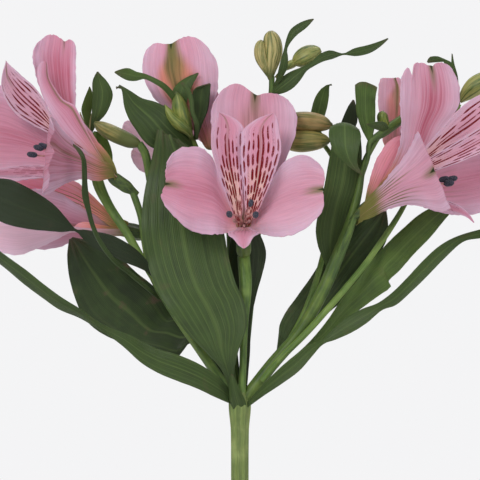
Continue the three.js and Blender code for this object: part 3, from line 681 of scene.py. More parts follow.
@dataclass(frozen=True)
class TepalFinish:
    """Pink petals with a salmon throat, green tips and, on the inner ones, maroon dashes."""

    pink: Tint = tint(206, 142, 164)
    deep: Tint = tint(170, 74, 96)
    lilac: Tint = tint(210, 172, 194)
    salmon: Tint = tint(204, 128, 112)
    cream: Tint = tint(228, 188, 174)
    pale: Tint = tint(220, 190, 206)
    coral: Tint = tint(216, 130, 142)
    foot: Tint = tint(118, 116, 58)
    bronze: Tint = tint(156, 118, 80)
    olive: Tint = tint(112, 104, 60)
    tip: Tint = tint(44, 54, 24)
    maroon: Tint = tint(112, 0, 12)
    dash_columns: float = 8.0

    def ground(self, coat: Coat, along: Socket, centre: Socket, streaks: Socket, blotch: Socket) -> None:
        """Lays pink with a paler rim, then the deeper streaks and the rose middle, which wide broadens into
        painted shade on a hollow petal.
        """
        held = coat.attribute
        coat.start(coat.rise(coat.scaled(blotch, 0.5, centre), 0.55, 1.35), self.pink, self.lilac)
        coat.over(self.pale, held("pale"))
        coat.over(self.coral, coat.rise(streaks, 0.1, 0.5), held("coral"))
        coat.over(self.deep, coat.rise(streaks, 0.4, 0.8), held("depth"), 0.6)
        # Wide broadens the deep rose middle; on a hollow petal the broader part is painted shade.
        inside = coat.less(centre, held("wide"))
        middle = (coat.rise(inside, 0.42, 0.0), coat.rise(along, 0.25, 0.5), coat.rise(along, 1.0, 0.8))
        coat.over(self.deep, *middle, held("rose"), coat.rise(streaks, 0.1, 0.75))

    def throat(self, coat: Coat, along: Socket, centre: Socket, streaks: Socket, blotch: Socket) -> None:
        """Lays the salmon throat, the greenish foot and the cream patch under the dashes."""
        held = coat.attribute
        coat.over(self.salmon, coat.rise(coat.scaled(streaks, -0.3, along), 0.34, 0.02), held("salmon"))
        low = coat.rise(coat.scaled(streaks, -0.12, coat.less(along, held("foot"))), 0.2, 0.03)
        coat.over(self.foot, low, coat.rise(streaks, 0.1, 0.5))
        patch = (coat.rise(centre, 0.9, 0.4), coat.rise(along, 0.15, 0.3), coat.rise(along, 0.66, 0.44))
        coat.over(self.cream, *patch, held("cream"), coat.rise(blotch, 0.2, 0.5))

    def back_marks(self, coat: Coat, along: Socket, centre: Socket, streaks: Socket) -> None:
        """Lays the bronze band, the fan of olive veins and the middle rib."""
        held = coat.attribute
        narrowed = coat.scaled(coat.rise(along, 0.72, 1.0), 0.5, centre)
        band = coat.rise(coat.scaled(streaks, 0.12, narrowed), 0.78, 0.4)
        band = coat.times(band, coat.rise(along, 0.3, 0.6), held("bronze"))
        inner = coat.scaled(centre, -0.9, along)
        coat.over(coat.mix(coat.rise(inner, 0.45, 0.68), self.salmon, self.bronze), band)
        coat.over(self.tip, band, coat.rise(streaks, 0.44, 0.6), coat.rise(inner, 0.5, 0.8), 0.8)
        lines, fade = coat.veins(12.0, 0.24, 0.05)
        fan = (coat.math("MULTIPLY", lines, 1.7, clamp=True), fade, held("olive"))
        coat.over(self.olive, *fan, coat.rise(along, 0.9, 0.35), coat.rise(centre, 1.0, 0.6))
        rib = (coat.rise(centre, 0.16, 0.02), held("midrib"), coat.rise(along, 0.98, 0.9))
        coat.over(self.olive, *rib, coat.rise(streaks, 0.2, 0.5))

    def green_tip(self, coat: Coat, along: Socket, centre: Socket, streaks: Socket) -> None:
        """Lays an olive cloud round the tip and a dark green wedge in it."""
        green = coat.attribute("green")
        far = coat.less(1.0, along)
        squares = coat.math("ADD", coat.math("POWER", centre, 2.0), coat.math("POWER", far, 2.0))
        near = coat.stray(coat.math("POWER", squares, 0.5), streaks, 0.14)
        near = coat.times(near, coat.less(2.0, green))
        coat.over(self.olive, coat.rise(near, 0.2, 0.03, 0.8), green)
        wedge = coat.scaled(centre, 1.6, coat.times(far, 1.5))
        coat.over(self.tip, coat.rise(wedge, 0.11, 0.05), green)

    def dashes(self, coat: Coat, across: Socket, along: Socket) -> Socket:
        """Spindle dashes in columns that run along the petal, longest in its middle.

        Args:
            coat: The petal's material.
            across: Place across, from 0 to 1.
            along: Place along, from 0 to 1.

        Returns:
            1 on a dash and 0 beside it.
        """
        seed, reach = coat.attribute("seed"), coat.attribute("reach")
        drift = coat.drawn_noise(2.0, 4.0, seed, 1.0)
        columns = coat.times(coat.stray(across, drift, 0.07), self.dash_columns)
        column = coat.math("FLOOR", columns)
        off = coat.from_half(coat.math("FRACT", columns))
        shift = coat.chance("2D", column, seed, 0.0)
        run = coat.scaled(along, coat.scaled(reach, -17.0, 21.2), shift)
        chance = coat.chance("3D", column, coat.math("FLOOR", run), seed)
        edge = coat.from_half(across)
        longer = coat.rise(edge, 0.12, 0.04, 0.2)
        length = coat.math("ADD", coat.scaled(chance, 0.22, 0.3), longer)
        inside = coat.less(length, coat.from_half(coat.math("FRACT", run)))
        broad = coat.scaled(along, -0.5, 0.55)
        wide = coat.scaled(coat.rise(inside, 0.0, 0.2), broad, coat.times(chance, 0.04))
        body = coat.times(coat.rise(coat.less(wide, off), -0.04, 0.04), coat.rise(inside, 0.0, 0.05))
        beyond = coat.rise(coat.less(along, reach), 0.0, 0.26)
        thinned = coat.scaled(coat.less(reach, 0.6), 1.2, coat.less(0.08, longer))
        kept = coat.math("GREATER_THAN", chance, coat.scaled(beyond, 0.9, thinned))
        zone = coat.times(coat.rise(along, 0.12, 0.17), coat.rise(along, 0.93, 0.88))
        return coat.times(body, kept, zone, coat.rise(edge, 0.48, 0.43))

    def build(self, effects: Effects) -> Material:
        """Mixes the petal's colours by place and by what each petal holds."""
        translucent = {"Subsurface_Weight": 0.1, "Subsurface_Scale": 0.0005}
        coat = Coat("tepal", effects, Sheen_Weight=0.02, Specular_IOR_Level=0.16, **translucent)
        across, along, _ = coat.parts(coat.place("UV"))
        rib = coat.attribute("middle")
        off = coat.less(across, rib)
        sides = (coat.times(rib, -1.0), coat.less(1.0, rib))
        centre = coat.math("MAXIMUM", *(coat.math("DIVIDE", off, side) for side in sides))
        streaks, fine = coat.streaks(26.0, 1.5), coat.streaks(70.0, 4.0)
        blotch, grain = coat.mottle(110.0, 1600.0)
        self.ground(coat, along, centre, streaks, blotch)
        self.throat(coat, along, centre, streaks, blotch)
        self.back_marks(coat, along, centre, streaks)
        self.green_tip(coat, along, centre, streaks)
        coat.over(self.maroon, self.dashes(coat, across, along), coat.attribute("flecks"))
        # Fine streaks darken the petal a little. Painted shade then darkens the whole petal, and below 0 it
        # paints light on it.
        shade = coat.scaled(coat.rise(fine, 0.3, 0.7), 0.14, 0.93)
        shade = coat.scaled(coat.attribute("dim"), -0.3, shade)
        coat.colour = coat.mix(1.0, coat.colour, coat.vector(shade, shade, shade), "MULTIPLY")
        height = coat.scaled(grain, 0.25, coat.scaled(streaks, 0.6, coat.times(fine, 0.5)))
        return coat.finish(coat.scaled(blotch, 0.25, 0.42), height)


@dataclass(frozen=True)
class LeafFinish:
    """Dark green blades with pale veins that run from foot to tip."""

    green: Tint = tint(60, 80, 36)
    dark: Tint = tint(34, 46, 24)
    fresh: Tint = tint(98, 126, 50)
    vein: Tint = tint(106, 128, 66)
    brown: Tint = tint(92, 70, 58)

    def build(self, effects: Effects) -> Material:
        """Mixes greens by the leaf's tone with its painted light and shade, by veins and by blotches."""
        translucent = {"Subsurface_Weight": 0.04, "Subsurface_Scale": 0.0006}
        coat = Coat("leaf_blade", effects, Specular_IOR_Level=0.32, **translucent)
        across, along, _ = coat.parts(coat.place("UV"))
        centre = coat.math("ABSOLUTE", coat.scaled(across, 2.0, -1.0))
        # The tone is partly the leaf's own green and partly painted light: low where a leaf is painted as
        # lying in shade, high where a leaf is lifted out of another part's shadow.
        tone = coat.attribute("tone")
        veins, fade = coat.veins(coat.attribute("veins"), 0.12, 0.03)
        threads, _ = coat.veins(47.0, 0.4, 0.02)
        streaks, fine = coat.streaks(16.0, 2.0), coat.streaks(64.0, 3.0)
        blotch, grain = coat.mottle(130.0, 2200.0)
        uneven = coat.stray(coat.stray(tone, blotch, 0.5), streaks, 0.35)
        coat.start(coat.rise(uneven, -0.05, 0.5), self.dark, self.green)
        coat.over(self.fresh, coat.rise(uneven, 0.45, 1.05))
        shown = coat.math("ADD", tone, 0.3, clamp=True)
        lines = coat.times(veins, shown, coat.scaled(fade, 0.4, 0.2))
        coat.over(self.vein, lines, coat.rise(along, 1.0, 0.3))
        coat.over(self.vein, threads, shown, 0.16)
        coat.over(self.dark, coat.rise(fine, 0.5, 0.68, 0.4))
        coat.over(self.vein, coat.rise(centre, 0.09, 0.01), shown, 0.45)
        coat.over(self.brown, coat.rise(coat.stray(along, streaks, 0.3), 0.9, 1.04), 0.6)
        coat.over(self.brown, coat.rise(blotch, 0.6, 0.74), coat.attribute("worn"))
        height = coat.less(coat.times(streaks, 0.6), coat.times(lines, 0.7))
        height = coat.scaled(grain, 0.2, coat.less(height, coat.times(threads, 0.25)))
        return coat.finish(coat.scaled(blotch, 0.3, 0.3), height, 0.55)


@dataclass(frozen=True)
class StalkFinish:
    """Stems and rays: fibres drawn out along a yellow-green or darker green skin."""

    name: str
    light: Tint
    main: Tint
    dark: Tint
    fibres: float = 14.0

    def build(self, effects: Effects) -> Material:
        """Mixes three greens by fibre and blotch."""
        translucent = {"Subsurface_Weight": 0.06, "Subsurface_Scale": 0.001}
        coat = Coat(self.name, effects, Specular_IOR_Level=0.45, **translucent)
        streaks, fine = coat.streaks(self.fibres, 5.0), coat.streaks(self.fibres * 3, 16.0)
        blotch, grain = coat.mottle(90.0, 2400.0)
        coat.start(coat.rise(streaks, 0.3, 0.7), self.dark, self.main)
        coat.over(self.light, coat.rise(blotch, 0.45, 0.7), 0.4)
        coat.over(self.light, coat.rise(fine, 0.56, 0.74), 0.5)
        height = coat.scaled(grain, 0.2, coat.scaled(fine, 0.5, streaks))
        return coat.finish(coat.scaled(fine, 0.25, 0.4), height, 0.45)


@dataclass(frozen=True)
class BudFinish:
    """Closed buds: streaked olive or bronze, flushed at the foot, dark at the tip and with painted pale
    highlights.
    """

    name: str
    skin: Tint
    flush: Tint
    streak: Tint
    tip: Tint = tint(70, 84, 40)
    # The pale tan of the painted highlights.
    pale: Tint = tint(206, 192, 136)
    base: Tint = tint(84, 92, 40)

    def build(self, effects: Effects) -> Material:
        """Mixes the skin with long streaks and a flush, and paints pale streaks of highlight over it."""
        translucent = {"Subsurface_Weight": 0.08, "Subsurface_Scale": 0.001}
        coat = Coat(self.name, effects, Specular_IOR_Level=0.5, **translucent)
        along = coat.parts(coat.place("UV"))[1]
        streaks, fine = coat.streaks(17.0, 1.3), coat.streaks(60.0, 3.5)
        blotch, grain = coat.mottle(160.0, 2400.0)
        coat.start(coat.rise(streaks, 0.4, 0.6), self.skin, self.streak)
        coat.over(self.flush, coat.rise(blotch, 0.45, 0.68), 0.45)
        coat.over(self.flush, coat.rise(fine, 0.46, 0.66), 0.45)
        # Painted highlights: pale streaks, as much as the bud's light holds.
        coat.over(self.pale, coat.rise(streaks, 0.62, 0.38), coat.attribute("light"))
        low = coat.less(along, coat.attribute("green"))
        coat.over(self.base, coat.rise(coat.scaled(streaks, 0.2, low), 0.2, 0.0))
        coat.over(self.tip, *coat.veins(13.0, 0.16, 0.06), 0.7)
        coat.over(self.tip, coat.rise(coat.scaled(streaks, 0.3, along), 1.02, 1.18))
        height = coat.scaled(grain, 0.2, coat.scaled(fine, 0.5, streaks))
        return coat.finish(coat.scaled(fine, 0.25, 0.36), height)


@dataclass(frozen=True)
class StamenFinish:
    """Pink threads with slate-blue grains of pollen on their anthers."""

    thread: Tint = tint(206, 150, 142)
    thread_dark: Tint = tint(150, 92, 96)
    anther: Tint = tint(44, 44, 58)
    dust: Tint = tint(84, 84, 98)

    def build(self, effects: Effects) -> Material:
        """Chooses thread or pollen by what each part holds."""
        coat = Coat("stamen", effects, Specular_IOR_Level=0.3, Sheen_Weight=0.1)
        pollen = coat.attribute("pollen")
        blotch, grain = coat.mottle(500.0, 3800.0)
        anther = coat.mix(coat.rise(grain, 0.45, 0.62), self.anther, self.dust)
        coat.start(coat.rise(blotch, 0.35, 0.65), self.thread, self.thread_dark)
        coat.over(anther, pollen)
        return coat.finish(coat.scaled(pollen, 0.35, 0.5), coat.times(grain, pollen), 0.8, 0.0005)


@dataclass(frozen=True)
class ClayFinish:
    """Fired clay with pale lime bloom, damp low down and rubbed at the rim."""

    clay: Tint = tint(176, 100, 66)
    fired: Tint = tint(152, 80, 52)
    lime: Tint = tint(206, 164, 136)
    damp: Tint = tint(122, 66, 44)

    def build(self, effects: Effects) -> Material:
        """Mixes the clay's colours by height, blotch and grain."""
        coat = Coat("fired_clay", effects, Specular_IOR_Level=0.25)
        blotch, grain = coat.mottle(22.0, 1300.0)
        up = coat.parts(coat.place())[2]
        coat.start(coat.rise(blotch, 0.38, 0.64), self.clay, self.fired)
        coat.over(self.damp, coat.rise(coat.scaled(blotch, 0.06, up), 0.075, 0.03, 0.7))
        coat.over(self.lime, coat.rise(coat.noise(coat.place(), 38.0, 5.0, 0.62), 0.54, 0.74, 0.7))
        coat.over(self.lime, coat.rise(up, 0.106, 0.112), coat.rise(grain, 0.4, 0.6), 0.6)
        coat.over(self.damp, coat.rise(grain, 0.62, 0.72, 0.5))
        rings = coat.noise(coat.vector(0.0, 0.0, coat.times(up, 900.0)), 1.0, 2.0)
        return coat.finish(coat.scaled(blotch, 0.2, 0.72), coat.scaled(rings, 0.5, grain), 0.5, 0.0005)


@dataclass(frozen=True)
class SoilFinish:
    """Dark potting mix with fibres and paler crumbs."""

    earth: Tint = tint(58, 42, 32)
    dark: Tint = tint(34, 25, 20)
    crumb: Tint = tint(104, 80, 58)

    def build(self, effects: Effects) -> Material:
        """Mixes browns by grain."""
        coat = Coat("potting_mix", effects, Specular_IOR_Level=0.15)
        blotch, grain = coat.mottle(240.0, 1500.0)
        coat.start(coat.rise(blotch, 0.36, 0.62), self.earth, self.dark)
        coat.over(self.crumb, coat.rise(grain, 0.58, 0.7))
        return coat.finish(coat.scaled(grain, 0.1, 0.86), coat.math("ADD", blotch, grain), 0.9, 0.0012)


@dataclass(frozen=True)
class FloorFinish:
    """A pale matt floor."""

    pale: Tint = tint(244, 244, 246)
    worn: Tint = tint(238, 238, 240)

    def build(self, effects: Effects) -> Material:
        """A very soft mottle."""
        coat = Coat("pale_floor", effects, Specular_IOR_Level=0.1)
        cloud = coat.noise(coat.place(), 4.0)
        coat.start(cloud, self.pale, self.worn)
        return coat.finish(coat.scaled(cloud, 0.1, 0.8))


class Stalk(Enum):
    """The skins of stem, rays and ovaries."""

    STEM = StalkFinish("main_stem_skin", tint(168, 180, 112), tint(124, 142, 74), tint(88, 106, 52))
    RAY = StalkFinish("ray_skin", tint(124, 144, 64), tint(86, 110, 44), tint(54, 78, 34), 9.0)
    BRIGHT = StalkFinish("bright_ray_skin", tint(142, 166, 84), tint(102, 130, 54), tint(66, 94, 36), 9.0)
    OVARY = StalkFinish("ovary_skin", tint(126, 140, 60), tint(78, 98, 42), tint(44, 62, 30), 12.0)


class BudSkin(Enum):
    """The skins that buds have."""

    OLIVE = BudFinish("olive_bud", tint(140, 132, 68), tint(176, 156, 98), tint(92, 102, 44))
    GREEN = BudFinish(
        "green_bud", tint(110, 126, 42), tint(156, 158, 72), tint(66, 92, 32), tip=tint(44, 66, 26)
    )
    BRONZE = BudFinish("bronze_bud", tint(142, 118, 68), tint(178, 148, 98), tint(96, 98, 44))
    TAWNY = BudFinish("tawny_bud", tint(134, 126, 66), tint(172, 152, 96), tint(90, 98, 42))

    @property
    def slot(self) -> Slot:
        """Its material slot."""
        return Slot.BRONZE_BUD if self in (BudSkin.BRONZE, BudSkin.TAWNY) else Slot.BUD


class Finishes:
    """Every material of the part, made once."""

    def __init__(self) -> None:
        """Builds the shared effects and then each material."""
        effects = Effects(veins_group(), streaks_group(), mottle_group())
        self.floor = FloorFinish().build(effects)
        self.tepal = TepalFinish().build(effects)
        self.leaf = LeafFinish().build(effects)
        self.stalks = {skin: skin.value.build(effects) for skin in Stalk}
        self.buds = {skin: skin.value.build(effects) for skin in BudSkin}
        self.stamen = StamenFinish().build(effects)
        self.clay = ClayFinish().build(effects)
        self.soil = SoilFinish().build(effects)


def dress(piece: Piece, material: Material, slot: Slot, *nodes: str) -> None:
    """Gives a piece its finish, lets it ride, and has it stand for CAD nodes."""
    piece.data.materials.clear()
    piece.data.materials.append(material)
    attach(piece, "root")
    if nodes:
        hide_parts(*nodes)
    log.info("%s: %d faces", piece.name, len(piece.data.polygons))


@dataclass(frozen=True)
class PetalLook:
    """How much of each marking a petal has, mostly from 0 to 1.

    Reach is how far along the petal its dashes go, foot how much longer its green foot is and
    wide how much broader its rose middle is, which on a hollow petal is partly painted shade.
    Painted shade darkens a petal that lies in shade, and below 0 it paints light on a petal that the others
    shade.
    """

    flecks: float = 0.0
    reach: float = 0.6
    rose: float = 0.2
    wide: float = 0.0
    depth: float = 0.3
    salmon: float = 0.4
    cream: float = 0.0
    olive: float = 0.0
    midrib: float = 0.0
    green: float = 0.0
    bronze: float = 0.0
    coral: float = 0.0
    pale: float = 0.0
    foot: float = 0.0
    # Painted shade over the whole petal; below 0 it is painted light.
    dim: float = 0.0


@dataclass(frozen=True)
class Petal:
    """One petal's edges and looks. One with no rows opens by rule."""

    tepal: Tepal
    rows: tuple[Row, ...] = ()
    look: PetalLook = PetalLook()
    tip: Place = NO_TIP
    tears: tuple[Place, ...] = ()
    parting: float = 0.0
    clawed: bool = True


def ruled_rows(spine: list[Row], facing: Place) -> tuple[Row, ...]:
    """Edges of a blade that is given by its spine.

    Args:
        spine: (x, y, up, width, bulge) at stations along it.
        facing: The way the blade looks.

    Returns:
        Rows as a Blade takes them.
    """
    centre = np.array([row[:3] for row in spine])
    along = unit(np.gradient(centre, axis=0))
    side = unit(np.cross(along, np.array(facing)))
    return tuple(
        (*(middle - way * width / 2), *(middle + way * width / 2), bulge)
        for (*_, width, bulge), middle, way in zip(spine, centre, side)
    )


@dataclass(frozen=True)
class Ring:
    """What the three petals of one ring share.

    Widths, shares of the length, spread, tip and look are those of petals that open by rule.
    """

    widths: tuple[float, ...]
    shares: tuple[float, ...]
    spread: float
    tip: Place
    look: PetalLook
    point: float
    wave: float
    tooth: float
    cells: int


OUTER_RING = Ring(
    widths=(16.0, 27.0, 28.0, 19.0),
    shares=(0.4, 0.66, 0.86, 0.98),
    spread=1.0,
    tip=(2.4, 0.8, 2.4),
    look=PetalLook(depth=0.5, rose=0.4, salmon=0.5, green=0.7, midrib=0.4),
    point=0.5,
    wave=0.45,
    tooth=0.14,
    cells=26,
)
INNER_RING = Ring(
    widths=(8.0, 11.0, 8.0, 1.2),
    shares=(0.4, 0.66, 0.86, 1.02),
    spread=0.72,
    tip=NO_TIP,
    look=PetalLook(flecks=0.8, cream=0.5, salmon=0.5, green=0.5),
    point=0.0,
    wave=0.2,
    tooth=0.08,
    cells=16,
)
PETAL_LENGTH = 44.0
OPENING = (0.25, 0.58, 0.86, 1.0)
HOLLOW_PER_WIDTH = -0.09
THROAT_RADIUS = 3.4
FOOT_STATIONS = ((1.4, 1.6, 2.2), (6.0, 3.6, 4.0))
CLAW_ALONG = 1.2
CLAW_RADIUS = 1.5
CLAW_HALF_WIDTH = 1.1
RIPE_PLACE = (29.0, 4.0)
YOUNG_PLACE = (16.0, 1.7)
RIPE_BEND = 13.0
YOUNG_BEND = 9.0
THREAD_FOOT = (3.0, 0.7)
THREAD_RADII = (0.5, 0.42, 0.32, 0.3)
ANTHER_HALF = 1.9
ANTHER_SWELL = ((-1.1, 0.5), (-0.7, 1.2), (0.0, 1.35), (0.7, 1.2), (1.1, 0.5))
YOUNG_SIZE = 0.55
YOUNG_POLLEN = 0.35


def ring_of(tepal: Tepal) -> Ring:
    """The ring in which a petal stands."""
    return OUTER_RING if tepal.outer else INNER_RING


@dataclass
class Bloom:
    """A bloom of six petals round an axis, with its stamens and the ovary below it.

    Spread is how far the petals that open by rule reach from the axis, size scales them, and
    ovary scales the ovary.
    """

    name: str
    foot: Place
    axis: Place
    spread: float
    petals: tuple[Petal, ...] = ()
    anthers: tuple[Place, ...] = ()
    young: tuple[Place, ...] = ()
    size: float = 1.0
    ovary: float = 1.0

    def beside_axis(self, angle: float, along: float, radius: float) -> np.ndarray:
        """A point by its angle round the axis, its place along it and its distance from it."""
        out = unit(np.array(self.axis))
        across = unit(np.cross(np.array(TO_SKY), out))
        up = np.cross(out, across)
        turn = math.radians(angle)
        return np.array(self.foot) + out * along + (across * math.cos(turn) + up * math.sin(turn)) * radius

    def on_axis(self, along: float, radius: float) -> Row:
        """A tube's row on the axis."""
        return (*self.beside_axis(0.0, along, 0.0), radius)

    def inward(self, angle: float) -> Place:
        """The way the upper face of a ruled petal looks."""
        far = self.beside_axis(0.0, PETAL_LENGTH * 0.8, 0.0)
        return tuple(far - self.beside_axis(angle, PETAL_LENGTH * 0.4, self.spread))

    def claw(self, petal: Petal) -> Row:
        """The petal's narrow foot, in line with its first row."""
        first = np.array(petal.rows[0][:6])
        side = unit(first[3:] - first[:3]) * CLAW_HALF_WIDTH
        middle = self.beside_axis(petal.tepal.value, CLAW_ALONG, CLAW_RADIUS)
        return (*(middle - side), *(middle + side))

    def opened(self, tepal: Tepal) -> tuple[Row, ...]:
        """Rows of a petal that opens by rule."""
        angle, ring = tepal.value, ring_of(tepal)
        spread = self.spread * ring.spread
        spine = []
        for along, radius, width in FOOT_STATIONS:
            spine.append((*self.beside_axis(angle, along, radius), width, 0.0))
        for width, share, opening in zip(ring.widths, ring.shares, OPENING):
            radius = THROAT_RADIUS + (spread - THROAT_RADIUS) * opening
            middle = self.beside_axis(angle, PETAL_LENGTH * self.size * share, radius)
            spine.append((*middle, width * self.size, HOLLOW_PER_WIDTH * width * self.size))
        return ruled_rows(spine, self.inward(angle))

    def petal_piece(self, petal: Petal, number: int) -> Piece:
        """Builds one petal and gives it its markings."""
        ring = ring_of(petal.tepal)
        rows, facing = petal.rows, TO_FRONT
        if not rows:
            rows, facing = self.opened(petal.tepal), self.inward(petal.tepal.value)
        elif petal.clawed:
            rows = (self.claw(petal), *rows)
        blade = Blade(
            name=f"{self.name}_petal_{number}",
            rows=rows,
            facing=facing,
            tip=petal.tip,
            point=ring.point if petal.clawed else 0.0,
            tears=petal.tears,
            parting=petal.parting,
            wave=ring.wave,
            tooth=ring.tooth,
            cells=ring.cells,
            spacing=1.3,
            seed=17 * number + len(self.name),
        )
        middle = (petal.parting + 1) / 2
        return mark(blade.build(), seed=3.7 * number + len(self.name), middle=middle, **vars(petal.look))

    def build_petals(self) -> Piece:
        """Builds all petals as one piece: those that are given, and the others by rule."""
        given = {petal.tepal for petal in self.petals}
        missing = [tepal for tepal in Tepal if tepal not in given]
        ruled = [Petal(tepal, look=ring_of(tepal).look, tip=ring_of(tepal).tip) for tepal in missing]
        petals = enumerate((*self.petals, *ruled), start=1)
        return join(f"{self.name}_bloom", [self.petal_piece(petal, number) for number, petal in petals])

    def thread_and_anther(self, number: int, place: Place, ripe: bool) -> list[Piece]:
        """Builds one stamen: a bent thread and a two-lobed anther on it.

        Args:
            number: The stamen's number round the axis.
            place: The middle of its anther.
            ripe: Whether the anther is a full one or a small young one.

        Returns:
            The thread and the anther.
        """
        end = np.array(place)
        start = self.beside_axis(60.0 * number, *THREAD_FOOT)
        bend = RIPE_BEND if ripe else YOUNG_BEND
        middle = self.beside_axis(0, bend * self.size, 0) * 0.75 + end * 0.25
        neck = middle + (end - middle) * 0.9
        beyond = middle + (end - middle) * 1.1
        path = (start, middle, neck, end)
        rows = tuple((*point, radius) for point, radius in zip(path, THREAD_RADII))
        thread = Tube(f"thread_{number}", rows, around=8, spacing=2.4).build()
        way = unit(beyond - neck) * ANTHER_HALF
        scale = 1.0 if ripe else YOUNG_SIZE
        rows = tuple((*(end + way * share * scale), radius * scale) for share, radius in ANTHER_SWELL)
        anther = Tube(f"anther_{number}", rows, spacing=0.45, ribs=2, depth=0.28).build()
        return [mark(thread, pollen=0.0), mark(anther, pollen=1.0 if ripe else YOUNG_POLLEN)]

    def build_stamens(self) -> Piece:
        """Builds six stamens, three ripe and three young, where they are seen or else by rule."""
        along, radius = RIPE_PLACE[0] * self.size, RIPE_PLACE[1] * self.size**2
        ripe = self.anthers or [self.beside_axis(angle, along, radius) for angle in (0, 120, 240)]
        along, radius = YOUNG_PLACE[0] * self.size, YOUNG_PLACE[1]
        young = self.young or [self.beside_axis(angle, along, radius) for angle in (60, 180, 300)]
        pieces = []
        for number, place in enumerate((*ripe, *young)):
            pieces += self.thread_and_anther(number, place, number < len(ripe))
        return join(f"{self.name}_threads", pieces)

    def dress(self, finishes: Finishes) -> None:
        """Builds the bloom's pieces and gives them their finishes."""
        dress(self.build_petals(), finishes.tepal, Slot.PETAL, f"bloom_{self.name}")
        dress(self.build_stamens(), finishes.stamen, Slot.STAMEN, f"stamens_{self.name}")


FRONT_PETALS = (
    Petal(Tepal.OUTER_TOP, (
        (-1.6, -2, 68.8, 4.8, -2, 68.8), (-4, -2, 78.8, 8.8, -2, 78.8, -1),
        (-7.6, -1, 90.8, 15.2, -1, 90.8, -2), (-10.6, 1.5, 103.6, 20.8, 1.5, 102.8, -2.5),
        (-11.5, 3.5, 112.1, 22.8, 3.5, 111.3, -2.5), (-11.2, 4.5, 118.1, 22.4, 4.5, 116.5, -2),
        (-9, 5, 122.7, 20.4, 5, 119.5, -1),
    ), tip=(5.6, 1.6, 3.5), parting=0.02,
        look=PetalLook(rose=0.25, depth=0.2, salmon=0.3, green=0.9, bronze=0.3, pale=0.15)),
    Petal(Tepal.OUTER_LEFT, (
        (-0.8, -5, 73.2, 0, -6, 69.2), (-5.2, -7, 82.4, -4.4, -9, 67.8, -1.5),
        (-10.4, -9, 96.7, -9.6, -12, 67, -3), (-15.9, -11, 101.4, -15.5, -14, 67.4, -3.5),
        (-21.9, -12.5, 101.8, -21.5, -15.5, 69.8, -3), (-26.7, -13.5, 99.4, -26.2, -16, 74.3, -2.2),
        (-28.8, -14.5, 96.2, -29.4, -16, 77.9, -1),
    ), PetalLook(rose=0.4, depth=0.25, salmon=0.5, green=1.05), tip=(0.6, 0.2, 2)),
    Petal(Tepal.OUTER_RIGHT, (
        (3.2, -5, 73.2, 2.8, -6, 69.2), (7.2, -7, 78.8, 5.6, -9, 68, -1.5),
        (11.2, -9, 86.3, 9.6, -12, 67, -2.5), (15.9, -11, 93.9, 14.7, -14, 66.2, -3),
        (21.1, -12.5, 98, 21.1, -15, 67, -3), (27.4, -14, 98.2, 27, -15.5, 70.2, -2.2),
        (31.8, -15, 94.8, 31.8, -15.5, 74.9, -1),
    ), PetalLook(rose=0.25, depth=0.2, salmon=0.4, green=1.1, pale=0.2), tip=(1.9, 0.9, 1.6)),
    Petal(Tepal.INNER_LEFT, (
        (-1.6, -8, 71.2, 0.4, -8, 70.4), (-3.6, -10, 77.2, 1.2, -9, 78.4, -0.6),
        (-6, -12, 83.9, 1.2, -9, 84.7, -1), (-8.6, -13, 91.1, 1, -8.5, 91.9, -1.2),
        (-10.5, -13, 97.8, 0.8, -8, 99.5, -1.4), (-11.5, -12, 103.8, 1, -7, 106.3, -1.4),
        (-11, -10, 109.2, 1.2, -6, 109.9, -1), (-9.6, -8, 113.2, -2.4, -5.5, 113.5, -0.5),
        (-8.6, -6.5, 115.5, -7.8, -6, 115.5),
    ), PetalLook(flecks=1, reach=0.68, cream=0.7, salmon=0.5, green=0.7, midrib=0.25, depth=0.6)),
    Petal(Tepal.INNER_RIGHT, (
        (2.4, -8, 71.2, 4.4, -8, 71.6), (2, -9.5, 77.9, 7.4, -11, 76.9, -0.6),
        (1.6, -9.5, 83.9, 10.5, -13, 83.5, -1), (1, -9.5, 90.7, 13.5, -14, 90.7, -1.2),
        (0.4, -9.5, 97.5, 15.7, -14, 97.4, -1.4), (0.6, -9, 103.5, 16.3, -13, 103.2, -1.4),
        (1.2, -8, 108.7, 15.5, -11, 109.6, -1), (6.4, -6.5, 112.9, 14.9, -8.5, 113, -0.5),
        (12.6, -5, 115.1, 13.8, -5.5, 115.1),
    ), PetalLook(flecks=1, reach=0.68, cream=0.7, salmon=0.5, green=0.7, midrib=0.25, depth=0.6)),
    Petal(Tepal.INNER_LOW, (
        (0, -9, 69.6, 3.2, -9, 69.6), (-2.4, -16, 68.4, 5.6, -16, 68.4, -1),
        (-4.8, -22, 67.4, 7.5, -22, 67.6, -1.5), (-2.6, -26, 65.4, 5.1, -26, 65.8, -0.5),
        (-1.6, -27, 64, 4.3, -27, 64, 0.2), (-0.6, -28, 62.6, 3.3, -28, 62.6, 0.3),
        (1.2, -28.6, 61.5, 1.8, -28.6, 61.5),
    ), PetalLook(flecks=0.3, cream=0.3, salmon=0.3, green=0.3, depth=0.2)),
)

